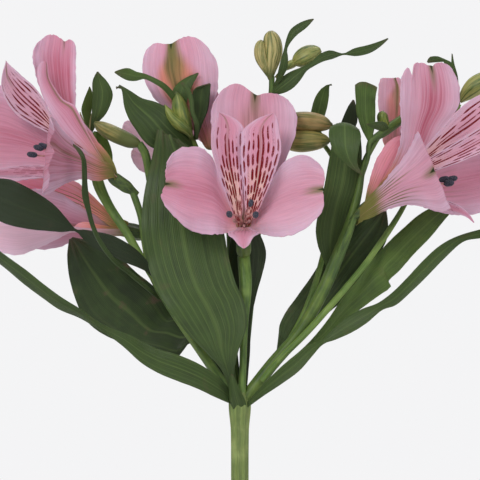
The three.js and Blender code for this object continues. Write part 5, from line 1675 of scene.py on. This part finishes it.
        (12.6, 8.4, 123.8, 13.4, 8.4, 123), (14.8, 7, 127.8, 17.6, 7, 123.8, 0.3),
        (17.6, 5.8, 130.6, 21.2, 5.8, 125.7, 0.5), (20.8, 5, 132.5, 24.2, 5, 128.9, 0.5),
        (24.4, 4.2, 133.9, 26.6, 4.2, 132.5, 0.3), (28.4, 3.6, 135.9, 29.6, 3.6, 134.5, 0.2),
        (31.4, 3.2, 138.9, 33.2, 3.2, 136.3, 0.3), (36, 3, 140.7, 37.2, 3, 137.4, 0.4),
        (41.2, 3, 139.5, 41.4, 3, 138.9), (45.7, 3, 141.5, 46.5, 3, 138.5, 0.3),
        (50.9, 3, 142.7, 51.7, 3, 139.6, 0.4), (55.3, 3, 144.1, 55.9, 3, 142.1, 0.2),
        (59.3, 3, 145.7, 59.4, 3, 145.3),
    ), tone=0.36, veins=5, worn=0),
    Leaf("leaf_tall_left", (
        (-60.3, 12, 107.4, -59.5, 12, 107.8), (-59.9, 10.5, 111.4, -57.4, 10.5, 111.8, 0.4),
        (-59.4, 9.5, 115.8, -54, 9.5, 115.4, 0.9), (-59.2, 9.5, 120.6, -51.6, 9.5, 120.6, 1.2),
        (-59.2, 9.5, 125, -51.3, 9.5, 124.2, 1.2), (-59.1, 9.5, 128.6, -53.4, 9.5, 128.4, 0.8),
        (-57.8, 9.5, 131.7, -56.2, 9.5, 131.3, 0.2), (-57.3, 9.5, 132.4, -57, 9.5, 132.3),
    ), tone=0.5, veins=6, worn=0),
    Leaf("leaf_short_left", (
        (-60.9, 13.6, 107, -60.3, 13.6, 107), (-62.6, 15.5, 112.7, -60.4, 15.5, 112.5, 0.3),
        (-63.8, 17, 117.2, -59.8, 17, 117.2, 0.6), (-62.8, 17, 121.2, -59, 17, 120.8, 0.5),
        (-61.4, 17, 124.6, -59.6, 17, 124.4, 0.2), (-60.6, 17, 126.6, -60.4, 17, 126.4),
    ), tone=0.95, veins=5, worn=0),
    Leaf("leaf_hanging_left", (
        (-59.5, 14, 107.4, -58.7, 14, 108.6), (-58, 15.5, 104.6, -55.1, 15.5, 107.7, 0.3),
        (-56, 16.5, 101.4, -52.7, 16.5, 103.7, 0.6), (-53.8, 17, 98.6, -51.5, 17, 99.4, 0.4),
        (-51.7, 17, 95.8, -51.4, 17, 95.8),
    # Painted light lifts this leaf out of the bud's shadow.
    ), tone=1.3, veins=5, worn=0),
    Leaf("leaf_spoon_left", (
        (-21.7, 8.9, 107.8, -20.1, 8.9, 108.2), (-23.3, 11.5, 113.8, -21.3, 11.5, 114.2, 0.1),
        (-26.1, 10, 119, -24.3, 10, 120.2, 0.1), (-28.9, 6, 122.9, -27.1, 6, 124.6, 0.1),
        (-31.6, 3, 125.7, -30.4, 3, 127.7, 0.1), (-35, 1.7, 127.8, -34.4, 1.7, 129.8, 0.1),
        (-38.4, 2.4, 129.3, -38, 2.4, 131.3, 0.2), (-41.3, 3.2, 128.6, -41.3, 3.2, 132.1, 0.4),
        (-44.7, 4.2, 128.7, -44.5, 4.2, 133.6, 0.5), (-47.7, 4.8, 130.1, -47.3, 4.8, 133.3, 0.3),
        (-50.3, 5, 131.9, -50.1, 5, 132.3),
    ), tone=0.6, veins=5, worn=0),
    Leaf("leaf_point_left", (
        (-22.5, 10.4, 107, -20.5, 10.4, 107), (-25.3, 11, 112.6, -21.3, 11, 112.6, 0.3),
        (-27.1, 11, 119, -21.7, 11, 119, 0.6), (-27.3, 10.6, 123.8, -20.5, 10.6, 123.4, 0.8),
        (-25.3, 10.6, 127.3, -19.1, 10.6, 127.1, 0.7), (-21.3, 10.8, 130.1, -17.7, 10.8, 129.7, 0.3),
        (-16.9, 11, 132, -16.6, 11, 131.7),
    ), tone=0.55, veins=6, worn=0),
    Leaf("leaf_fold_left", (
        (-18.5, 9.8, 105, -17.3, 9.8, 105), (-18.3, 9.2, 111.4, -15.3, 8.6, 111.4, -0.9),
        (-18.9, 8.8, 117, -13, 8, 117, -1.5), (-19.1, 8.8, 121.8, -12.3, 8, 122.2, -1.7),
        (-18.1, 8.8, 125.6, -12, 8.4, 125.8, -1.2), (-12.2, 8.8, 127.6, -11.8, 8.8, 127.4),
    ), tone=0.2, veins=6, worn=0),
    Leaf("leaf_high_right", (
        (86.5, 20.6, 116, 87.7, 20.6, 116), (84.2, 18.5, 121.6, 86, 18.5, 121.6, 0.2),
        (83.8, 17.6, 127.6, 86.6, 17.6, 127.6, 0.3), (83.4, 17.5, 132.9, 87, 17.5, 132.9, 0.4),
        (81, 17.4, 138.1, 84.6, 17.4, 136.5, 0.4), (76.5, 17.2, 138.5, 79.7, 17.2, 136.5, 0.3),
        (75.3, 17, 136.5, 75.7, 17, 136.1),
    ), tone=0.5, veins=4, worn=0),
    Leaf("leaf_spike_right", (
        (88, 22, 117.3, 89, 22, 117.3), (86.4, 23, 124.5, 88.4, 23, 124.5, 0.2),
        (86, 23.3, 131, 87.8, 23.3, 131, 0.3), (85.4, 23, 135.8, 86.6, 23, 135.4, 0.1),
        (85.4, 22.6, 140.1, 85.8, 22.6, 139.9),
    ), tone=0.5, veins=4, worn=0),
    Leaf("bract_right", (
        (57.7, 2.6, 108.4, 59.7, 2.6, 109.6), (55.2, -1.5, 108.8, 58, -1.5, 111.8, 0.4),
        (52.3, -4.5, 109.9, 54.7, -4.5, 112.1, 0.4), (50.5, -6, 111.1, 51.1, -6, 111.1),
    ), tone=0.5, veins=4, worn=0),
)

LOWER_LEAVES = ((-66.0, 205.0), (-88.0, 330.0), (-106.0, 80.0))
LOWER_LEAF_STATIONS = ((2, -3, 3), (12, 6, 8), (28, 12, 12), (44, 11, 9), (58, 4, 1))
LOWER_LEAF_SEEDS = 40


def lower_leaf(number: int, up: float, heading: float) -> Leaf:
    """A plain leaf low on the stem.

    Args:
        number: Its number from the top.
        up: Its height from the whorl.
        heading: The way it points, in degrees.

    Returns:
        The leaf.
    """
    x, y = math.cos(math.radians(heading)), math.sin(math.radians(heading))
    spine = [(x * out, y * out, up + rise, wide, -0.06 * wide) for out, rise, wide in LOWER_LEAF_STATIONS]
    return Leaf(f"leaf_lower_{number}", ruled_rows(spine, TO_SKY), facing=TO_SKY, wave=0.4, worn=0.3)


@dataclass
class Bud:
    """A closed bud, with the smaller bodies that stand with it."""

    node: str
    bodies: tuple[tuple[Row, ...], ...]
    skin: BudSkin = BudSkin.OLIVE
    # How much painted highlight, in pale streaks, the bud has.
    light: float = 0.0
    green: float = 0.0

    def dress(self, finishes: Finishes, number: int) -> None:
        """Builds the bodies with their three seams and gives them a finish."""
        pieces = []
        for part, rows in enumerate(self.bodies):
            twist = 40.0 + 25 * part
            tube = Tube(f"{self.node}_{part}", rows, around=24, spacing=0.8, ribs=3, depth=0.1, twist=twist)
            pieces.append(mark(tube.build(), seed=5.1 * number + part, light=self.light, green=self.green))
        dress(join(f"{self.node}_form", pieces), finishes.buds[self.skin], self.skin.slot, self.node)


BUDS = (
    Bud("bud_top", (
        ((12.3, 8.5, 129, 0.9), (12.3, 8.5, 132.2, 2.2), (12.6, 8.5, 136.2, 3.7), (13.2, 8.5, 140.3, 4.3),
         (13.1, 8.5, 143.9, 4), (12.6, 8.5, 146.5, 3.2), (12.4, 8.5, 148, 2.1), (12.3, 8.5, 148.8, 0.8)),
        ((11.2, 8, 130.6, 0.6), (10, 7.4, 134.6, 2.1), (8.6, 7, 138.2, 2.7), (8.2, 7, 141.4, 2.6),
         (8.3, 7.2, 143.6, 1.9), (8.8, 7.5, 144.8, 0.8)),
    ), green=0.2, light=0.5),
    Bud("bud_small_top", (
        ((21.3, 10.6, 135.5, 1), (22.9, 10.6, 136.5, 2.9), (24.9, 10.6, 137.5, 4), (27.3, 10.8, 138.7, 4.3),
         (29.5, 11, 139.8, 3.8), (31.3, 11, 140.7, 2.6), (32.5, 11, 141.2, 0.9)),
        ((14.5, 9.4, 129.8, 0.8), (17.3, 9.8, 133.1, 1), (19.3, 10.2, 134.7, 1.7), (21.3, 10.6, 135.7, 1.8),
         (22.9, 10.6, 136.5, 1.2)),
    ), skin=BudSkin.GREEN, light=0.35),
    Bud("bud_bronze", (
        ((16.9, 12.8, 112.6, 1.6), (20.5, 12.8, 112.6, 3.4), (24.1, 12.8, 112.6, 4.2),
         (28.1, 12.6, 112.4, 4.3), (31.8, 12.6, 112, 3.8), (34.6, 12.6, 111.4, 2.8),
         (36.4, 12.6, 111.1, 1.5), (37.3, 12.6, 111.3, 0.4)),
    ), skin=BudSkin.BRONZE),
    Bud("bud_olive", (
        ((16.1, 12.8, 105, 1.6), (20.1, 12.6, 104.6, 3.8), (24.1, 12.2, 104.5, 4.6), (28.1, 12, 104.6, 4.4),
         (31.8, 12, 104.7, 3.6), (34.2, 12, 104.8, 2.5), (35.8, 12, 104.8, 1.2), (36.4, 12, 104.9, 0.4)),
    )),
    Bud("bud_diagonal", (
        ((-39.7, 6.6, 102.5, 0.8), (-41.3, 6.6, 103.5, 2), (-43.7, 6.6, 104.5, 3), (-46.5, 6.6, 105.7, 3.3),
         (-50.1, 6.5, 107.3, 3.4), (-53.7, 6.5, 109.1, 3.1), (-56.5, 6.4, 110.7, 2.2),
         (-58.5, 6.4, 112, 0.5)),
    ), skin=BudSkin.TAWNY, green=0.5),
    Bud("bud_middle_left", (
        ((-19.7, 9.5, 105.4, 0.8), (-20.9, 9, 108.6, 2.2), (-22.5, 8.6, 112.2, 3.4),
         (-23.7, 8.4, 115.8, 3.7), (-24.5, 8.2, 119.4, 3), (-25.1, 8, 122.2, 1.8), (-25.7, 8, 124.4, 0.3)),
        ((-19.3, 7.5, 106.1, 0.8), (-21.3, 6.5, 108.9, 2), (-24.1, 6, 111.1, 2.6), (-26.9, 6, 113.7, 2.2),
         (-28.9, 6.2, 116.5, 1.5), (-30.3, 6.6, 119.1, 0.3)),
    ), skin=BudSkin.GREEN, light=0.15),
    Bud("bud_pale_left", (
        ((-60.1, 12.8, 108.6, 0.4), (-59.9, 12.2, 112.2, 0.7), (-59.5, 11.6, 115.8, 0.2)),
        ((-61.9, 12.8, 107.8, 0.4), (-63.1, 12.4, 111.8, 0.8), (-64.3, 12, 116.2, 0.2)),
    ), light=0.8),
    Bud("bud_small_right", (
        ((59.3, 4.6, 108.5, 1), (58.3, 4.4, 110.5, 2), (57.4, 4.2, 112.9, 2.4), (57.1, 4.1, 114.9, 2.2),
         (57.1, 4, 116, 1.4), (57.2, 4, 116.6, 0.3)),
    ), skin=BudSkin.GREEN),
    Bud("bud_right_edge", (
        ((88.7, 21, 120.5, 0.8), (91.2, 21, 123.3, 2.9), (94.8, 20.6, 126.3, 4.3), (98.8, 20.3, 128.9, 4),
         (102, 20, 130.7, 2.6), (104.6, 20, 132.1, 0.4)),
    ), skin=BudSkin.GREEN, light=0.3),
)


@dataclass(frozen=True)
class Ray:
    """A stalk of the umbel through (x, y, up, radius) rows, and the bloom that it carries."""

    rows: tuple[Row, ...]
    bloom: str = ""
    skin: Stalk = Stalk.RAY
    flat: float = 1.0


RAYS = (
    Ray(((0.6, -1.5, 1, 1.9), (1.2, -0.8, 14, 1.5), (1.7, 0, 32, 1.8), (2.3, 2, 47, 2.7)), "front",
         skin=Stalk.BRIGHT),
    Ray(((0.5, 2, 1, 1.3), (1.2, 5, 9, 1.3), (1.6, 10, 22, 1.3), (2, 17.5, 46, 1.2), (4.5, 18, 80, 1.2),
         (10.5, 13, 108, 1.2), (12.6, 9, 124, 1.2), (12.8, 8.5, 130.5, 1.2))),
    Ray(((1, 2, 1, 1.3), (2, 6, 9, 1.3), (3, 13, 24, 1.3), (5.5, 20.5, 48, 1.2), (8.5, 20, 76, 1.2),
         (13, 15, 96, 1.2), (16, 13, 105.5, 1.2))),
    Ray(((13, 15, 95, 1.1), (14.5, 14, 105, 1.1), (17, 13, 112, 1.1))),
    Ray(((-0.3, 2, 1, 1.3), (-1, 6, 9, 1.3), (-3, 16, 30, 1.3), (-4, 18, 60, 1.3), (-4.5, 15, 82, 1.3)),
         "back_left"),
    Ray(((-0.8, 2, 1, 1.3), (-2.4, 6, 9, 1.3), (-7, 19, 30, 1.3), (-12, 25, 58, 1.3)), "hidden_left"),
    Ray(((-1.4, 2, 0.5, 1.5), (-4, 7, 7, 1.5), (-11, 19, 18, 1.5), (-22, 24, 38, 1.5)), "low_left"),
    Ray(((-1, 1.5, 1, 1.3), (-3, 5, 12, 1.3), (-8, 11, 40, 1.2), (-12, 12, 75, 1.2), (-17, 10.5, 100, 1.1),
         (-21, 9.5, 109.5, 1.1))),
    Ray(((-1.5, 1, 1, 2.2), (-7, 2, 8, 2.1), (-16, 2.5, 21, 2), (-27, 1.5, 37, 1.9), (-35, 0, 51, 1.7),
         (-38, -0.5, 64, 1.5), (-39.5, 0, 74, 1.5)), "left"),
    Ray(((-33, 0.5, 47, 1.5), (-39, 2, 57, 1.6), (-46, 4.5, 68.8, 1.8), (-52.8, 9.5, 79, 2),
         (-57, 12.5, 88, 2.4), (-58.5, 13.5, 98, 1.8), (-59, 13, 108, 1.2)), skin=Stalk.BRIGHT, flat=0.55),
    Ray(((-29, 1.2, 40, 1.3), (-32, 3.5, 56, 1.3), (-34.5, 6, 78, 1.4), (-36.5, 7, 92, 1.7),
         (-38, 7, 99.5, 1.8), (-40.5, 6.6, 103.6, 1.6))),
    Ray(((1.5, 0, 0, 2.9), (6, 0, 6, 2.8), (13, 0, 15, 2.7), (24, -0.5, 28, 2.6), (33, -0.5, 44, 2.7),
         (39, 0, 58, 2.7), (44, 0.5, 71, 2.3), (47.5, 1, 84, 1.6), (49.5, 1.5, 95, 1.3),
         (53.5, 3, 103, 1.2), (57, 4.5, 108.5, 1.1))),
    Ray(((36, -0.2, 51, 1.5), (40, -1.5, 61, 1.4)), "right"),
    Ray(((48.5, 1.2, 90, 1.2), (51.2, 1.5, 98, 1.1), (52, 1.5, 104, 1.1), (57, 3, 107.5, 1.8),
         (61, 5, 110.5, 2), (66, 8, 114, 1.8))),
    Ray(((43, 0.5, 69, 1.4), (49, 4.5, 78, 1.3), (55, 10, 82, 1.3)), "back_right"),
    Ray(((8.8, -2.5, 8.4, 1.4), (16, -3.7, 17.2, 1.4), (26.4, -4.2, 27.6, 1.4), (36.8, -3, 39.2, 1.4),
         (46.6, 1, 50.6, 1.35), (51.5, 4, 56.8, 1.3), (60, 11, 68.8, 1.3), (65.8, 15.5, 78.1, 1.1),
         (75, 21, 96, 1), (84, 22, 112, 1), (88.5, 21, 119.5, 1)), skin=Stalk.BRIGHT),
    Ray(((15, 1, 17, 1.5), (21, 4, 26, 1.5), (27, 7.5, 38, 1.4), (33, 11, 57, 1.2), (37, 15, 80, 1.1),
         (37.5, 18, 97, 1), (33.5, 19, 104, 1), (31.5, 19.5, 109.5, 1)), skin=Stalk.BRIGHT),
)


@dataclass
class Stems:
    """The ribbed main stem, the rays of the umbel and the ovaries that end them."""

    radius: float = 3.7
    foot: float = -168.0
    ribs: int = 9
    whorl: tuple[tuple[float, float], ...] = ((-1.0, 4.6), (3.0, 3.8), (5.5, 2.0))
    ovary: tuple[tuple[float, float], ...] = (
        (-12, 1.4), (-9, 2.1), (-5.5, 3.2), (-2.5, 3.3), (-0.4, 3.1), (1.3, 3.2), (3.2, 2.9), (4.6, 2.2)
    )
    collar: float = 2.75

    def build_stem(self) -> Piece:
        """Builds the main stem, wider at the whorl."""
        plain = ((up, self.radius) for up in (self.foot, -60.0, -12.0))
        rows = tuple((0.0, 0.0, up, radius) for up, radius in (*plain, *self.whorl))
        stem = Tube("main_stem", rows, around=72, spacing=2.0, ribs=self.ribs, depth=0.13, twist=30.0)
        return smooth(mark(stem.build(), seed=1.0))

    def build_rays(self, name: str, skin: Stalk) -> Piece:
        """Builds all rays of one skin as one piece, each up to the ovary that it carries."""
        blooms = {bloom.name: bloom for bloom in BLOOMS}
        pieces = []
        for number, ray in enumerate(RAYS):
            if ray.skin is not skin:
                continue
            rows = ray.rows
            if ray.bloom:
                bloom = blooms[ray.bloom]
                rows = (*rows, bloom.on_axis(-9 * bloom.ovary, max(1.5, rows[-1][3])))
            ribbed = {"ribs": 5, "depth": 0.12, "twist": 60.0}
            tube = Tube(f"ray_{number}", rows, around=20, spacing=2.0, flat=ray.flat, **ribbed)
            pieces.append(mark(tube.build(), seed=1.9 * number))
        return join(name, pieces)

    def build_ovaries(self) -> Piece:
        """Builds a six-ribbed ovary under each bloom, wide enough for the petals' feet."""
        pieces = []
        for number, bloom in enumerate(BLOOMS):
            rows = []
            for along, radius in self.ovary:
                least = self.collar if -1 < along < 3 else 0
                rows.append(bloom.on_axis(along * bloom.ovary, max(radius * bloom.ovary, least)))
            tube = Tube(f"ovary_{number}", tuple(rows), around=36, spacing=0.8, ribs=6, depth=0.14)
            pieces.append(mark(tube.build(), seed=2.9 * number))
        return join("ovaries", pieces)

    def dress(self, finishes: Finishes) -> None:
        """Builds the stems and gives them their finishes."""
        skins = finishes.stalks
        dress(self.build_stem(), skins[Stalk.STEM], Slot.STEM, "stem_and_rays")
        dress(self.build_rays("ray_rays", Stalk.RAY), skins[Stalk.RAY], Slot.STEM)
        dress(self.build_rays("bright_rays", Stalk.BRIGHT), skins[Stalk.BRIGHT], Slot.STEM)
        dress(self.build_ovaries(), skins[Stalk.OVARY], Slot.STEM)


def wall_at(height: float) -> float:
    """The outer radius of the pot's wall at a height."""
    return POT_FOOT_RADIUS + (POT_TOP_RADIUS - POT_FOOT_RADIUS) * height / POT_HEIGHT


@dataclass
class ClayPot:
    """A turned clay pot with a rolled rim and three drain holes."""

    around: int = 120
    bore_sides: int = 32
    edge_round: float = 0.6

    def profile(self) -> list[tuple[float, float]]:
        """Radius and height from the middle of the underside round to the inner floor."""
        rim = POT_HEIGHT - POT_RIM_HEIGHT
        lip = POT_TOP_RADIUS - POT_WALL
        foot = [(0.0, 0.0), (20.0, 0.0), (POT_FOOT_RADIUS - 2.0, 0.0), (POT_FOOT_RADIUS - 0.5, 0.5)]
        wall = [(POT_FOOT_RADIUS, 1.8), *((wall_at(up), up) for up in (20.0, 45.0, 70.0))]
        under_rim = [(wall_at(rim) - 0.4, rim - 2.0), (wall_at(rim), rim)]
        rim_rises = ((2.0, 0.2), (0.9, 0.9), (0.5, 2.4), (0.2, 12.0))
        rim_falls = ((0.0, 3.0), (0.5, 1.2), (2.0, 0.1), (4.0, 0.0))
        outer_rim = [(POT_RIM_RADIUS - inset, rim + up) for inset, up in rim_rises]
        outer_rim += [(POT_RIM_RADIUS - inset, POT_HEIGHT - down) for inset, down in rim_falls]
        inner_rim = [(lip + out, POT_HEIGHT - down) for out, down in ((2.2, 0.3), (0.4, 1.6), (0.0, 4.0))]
        inside = [(wall_at(up) - POT_WALL, up) for up in (60.0, POT_FLOOR + 2.0)]
        floor = [(wall_at(POT_FLOOR) - POT_WALL - 2.0, POT_FLOOR), (0.0, POT_FLOOR)]
        return foot + wall + under_rim + outer_rim + inner_rim + inside + floor

    def bore(self, piece: Piece, spot: Place) -> None:
        """Bores one drain hole through the floor."""
        deselect_all()
        size = {"vertices": self.bore_sides, "radius": DRAIN_HOLE_RADIUS * MM, "depth": POT_FLOOR * 4 * MM}
        bpy.ops.mesh.primitive_cylinder_add(location=spot, **size)
        bore = bpy.context.object
        apply_modifier(piece, "BOOLEAN", operation="DIFFERENCE", object=bore, solver="EXACT")
        delete(bore)

    def build(self) -> Piece:
        """Turns the profile, closes it, bores the drain holes and rounds the edges."""
        outline = np.array(self.profile())
        piece, column, row = grid_piece("clay_pot", self.around, len(outline) - 1)
        angle = 2 * np.pi * (column % self.around) / self.around
        radius, height = outline[row, 0], outline[row, 1]
        x, y = np.cos(angle) * radius, np.sin(angle) * radius
        shape(piece, np.stack([x, y, height - WHORL_HEIGHT], axis=1))
        close_seams(piece)
        for number in range(DRAIN_HOLES):
            turn = 2 * math.pi * (number + 0.25) / DRAIN_HOLES
            across, deep = math.cos(turn) * DRAIN_HOLE_CIRCLE, math.sin(turn) * DRAIN_HOLE_CIRCLE
            self.bore(piece, (across * MM, deep * MM, 0.0))
        sharp = {"limit_method": "ANGLE", "angle_limit": math.radians(60)}
        apply_modifier(piece, "BEVEL", width=self.edge_round * MM, segments=2, **sharp)
        return smooth(piece, 40)

    def dress(self, finishes: Finishes) -> None:
        """Builds the pot and gives it its finish."""
        dress(self.build(), finishes.clay, Slot.POT, "pot")


@dataclass
class PottingMix:
    """Soil with a crumbled top, and loose crumbs on it."""

    around: int = 140
    rings: int = 46
    mound_height: float = 2.0
    mound_radius: float = 50.0
    grit: float = 0.35
    crumbs: int = 420
    crumb_radius: float = 48.5
    seed: int = 5

    def inner_at(self, height: float) -> float:
        """The pot's inner radius at a height, less a little room."""
        return wall_at(height) - POT_WALL - FIT_GAP

    def top_at(self, x: np.ndarray, y: np.ndarray) -> np.ndarray:
        """Height of the soil's top at places across it."""
        radius = np.hypot(x, y)
        mound = SOIL_TOP + self.mound_height * (1 - np.clip(radius / self.mound_radius, 0, 1) ** 2)
        rough = np.sin(x * 0.31 + 1.1) * np.cos(y * 0.27 - 0.6) * 0.5
        rough = rough + np.sin(x * 0.83 - y * 0.61) * 0.25 + np.sin(x * 1.9 + y * 2.3 + 0.5) * 0.14
        return mound + rough

    def build_soil(self) -> Piece:
        """Turns the soil's body and roughens its top."""
        chance = np.random.default_rng(self.seed)
        body = [(0.0, POT_FLOOR + FIT_GAP), (self.inner_at(POT_FLOOR), POT_FLOOR + FIT_GAP)]
        body += [(self.inner_at(up), up) for up in (50.0, SOIL_TOP - 3)]
        top = np.linspace(self.inner_at(SOIL_TOP) - 0.6, 0.0, self.rings)
        outline = np.array(body + [(radius, SOIL_TOP) for radius in top])
        piece, column, row = grid_piece("potting_mix", self.around, len(outline) - 1)
        turn = column % self.around
        radius = outline[row, 0]
        angle = 2 * np.pi * turn / self.around
        x, y = np.cos(angle) * radius, np.sin(angle) * radius
        grit = chance.normal(0, self.grit, (len(outline), self.around))[row, turn]
        crumbled = (row >= len(body)) & (row < len(outline) - 1)
        height = np.where(row >= len(body), self.top_at(x, y), outline[row, 1])
        height = height + np.where(crumbled, grit, 0.0)
        shape(piece, np.stack([x, y, height - WHORL_HEIGHT], axis=1))
        close_seams(piece)
        return smooth(piece)

    def build_crumbs(self) -> Piece:
        """Scatters small uneven crumbs over the top."""
        chance = np.random.default_rng(self.seed + 1)
        deselect_all()
        bpy.ops.mesh.primitive_ico_sphere_add(subdivisions=1, radius=1.0)
        pattern = bpy.context.object
        corners = corners_of(pattern)
        crumbs = []
        for number in range(self.crumbs):
            distance = self.crumb_radius * math.sqrt(chance.uniform(0.012, 1.0))
            turn = chance.uniform(0, 2 * math.pi)
            x, y = distance * math.cos(turn), distance * math.sin(turn)
            size = chance.uniform(0.35, 1.5) * (1.5 if chance.uniform() > 0.93 else 1.0)
            uneven = chance.uniform(0.55, 1.1, (len(corners), 3))
            form = corners * uneven * size * chance.uniform(0.6, 1.3, 3)
            up = float(self.top_at(np.array(x), np.array(y))) - WHORL_HEIGHT + size * 0.25
            crumb = bpy.data.objects.new(f"crumb_{number}", pattern.data.copy())
            bpy.context.collection.objects.link(crumb)
            shape(crumb, form + np.array([x, y, up]))
            crumbs.append(crumb)
        delete(pattern)
        return join("soil_crumbs", crumbs, 40)

    def dress(self, finishes: Finishes) -> None:
        """Builds soil and crumbs and gives them their finish."""
        dress(self.build_soil(), finishes.soil, Slot.SOIL, "soil")
        dress(self.build_crumbs(), finishes.soil, Slot.SOIL)


@dataclass
class Studio:
    """Floor, soft lamps and the camera, level with the blooms. Sizes are in metres."""

    camera_height: float = 0.2848
    camera_distance: float = 2.5
    view_height: float = 0.192
    sensor: float = 36.0
    sight: float = 50.0
    floor_size: float = 6.0
    lamps_aim: float = 0.28
    sky: Tint = (0.905, 0.905, 0.915, 1.0)
    room_light: float = 0.42

    def build_floor(self, finish: Material) -> None:
        """Lays a pale floor."""
        deselect_all()
        bpy.ops.mesh.primitive_plane_add(size=self.floor_size, location=(0.0, 0.0, 0.0))
        floor = bpy.context.object
        floor.name = "pale_floor"
        floor.data.materials.append(finish)

    def add_lamp(self, name: str, place: Place, power: float, size: float) -> None:
        """Hangs a square lamp that looks at the plant."""
        deselect_all()
        bpy.ops.object.light_add(type="AREA", location=place)
        lamp = bpy.context.object
        lamp.name = name
        lamp.data.energy = power
        lamp.data.size = size
        way = Vector((0.0, 0.0, self.lamps_aim)) - Vector(place)
        lamp.rotation_euler = way.to_track_quat("-Z", "Y").to_euler()

    def build_camera(self) -> None:
        """Sets the camera in front, far off, with the photograph's frame."""
        deselect_all()
        place = (0.0, -self.camera_distance, self.camera_height)
        bpy.ops.object.camera_add(location=place, rotation=(math.radians(90), 0.0, 0.0))
        camera = bpy.context.object
        camera.name = "front_camera"
        camera.data.sensor_width = self.sensor
        camera.data.lens = self.sensor * self.camera_distance / self.view_height
        camera.data.clip_end = self.sight
        bpy.context.scene.camera = camera

    def build_room(self) -> None:
        """Sets the pale surroundings, which light the plant less than they look."""
        world = bpy.data.worlds.new("pale_room")
        bpy.context.scene.world = world
        world.use_nodes = True
        nodes = Nodes(world.node_tree)
        background = world.node_tree.nodes["Background"]
        background.inputs["Color"].default_value = self.sky
        seen = nodes.add("LightPath").outputs["Is Camera Ray"]
        nodes.put(background.inputs["Strength"], nodes.scaled(seen, 1.0 - self.room_light, self.room_light))
        bpy.context.scene.view_settings.view_transform = "Standard"

    def build(self, finishes: Finishes) -> None:
        """Sets the whole studio."""
        self.build_room()
        self.build_floor(finishes.floor)
        self.add_lamp("key_lamp", (-0.9, -1.3, 1.4), 20.0, 0.9)
        self.add_lamp("fill_lamp", (1.4, -1.2, 0.7), 8.0, 1.2)
        self.add_lamp("top_lamp", (0.2, 0.7, 1.6), 9.0, 1.0)
        self.build_camera()


def main() -> None:
    """Builds the studio and every sub-assembly of the plant, and notes the sizes."""
    finishes = Finishes()
    Studio().build(finishes)
    ClayPot().dress(finishes)
    PottingMix().dress(finishes)
    Stems().dress(finishes)
    for bloom in BLOOMS:
        bloom.dress(finishes)
    for number, leaf in enumerate(LEAVES, start=1):
        leaf.dress(finishes, number)
    for number, (up, heading) in enumerate(LOWER_LEAVES, start=1):
        lower_leaf(number, up, heading).dress(finishes, LOWER_LEAF_SEEDS + number)
    for number, bud in enumerate(BUDS, start=1):
        bud.dress(finishes, number)
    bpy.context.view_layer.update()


if __name__ == "__main__":
    main()
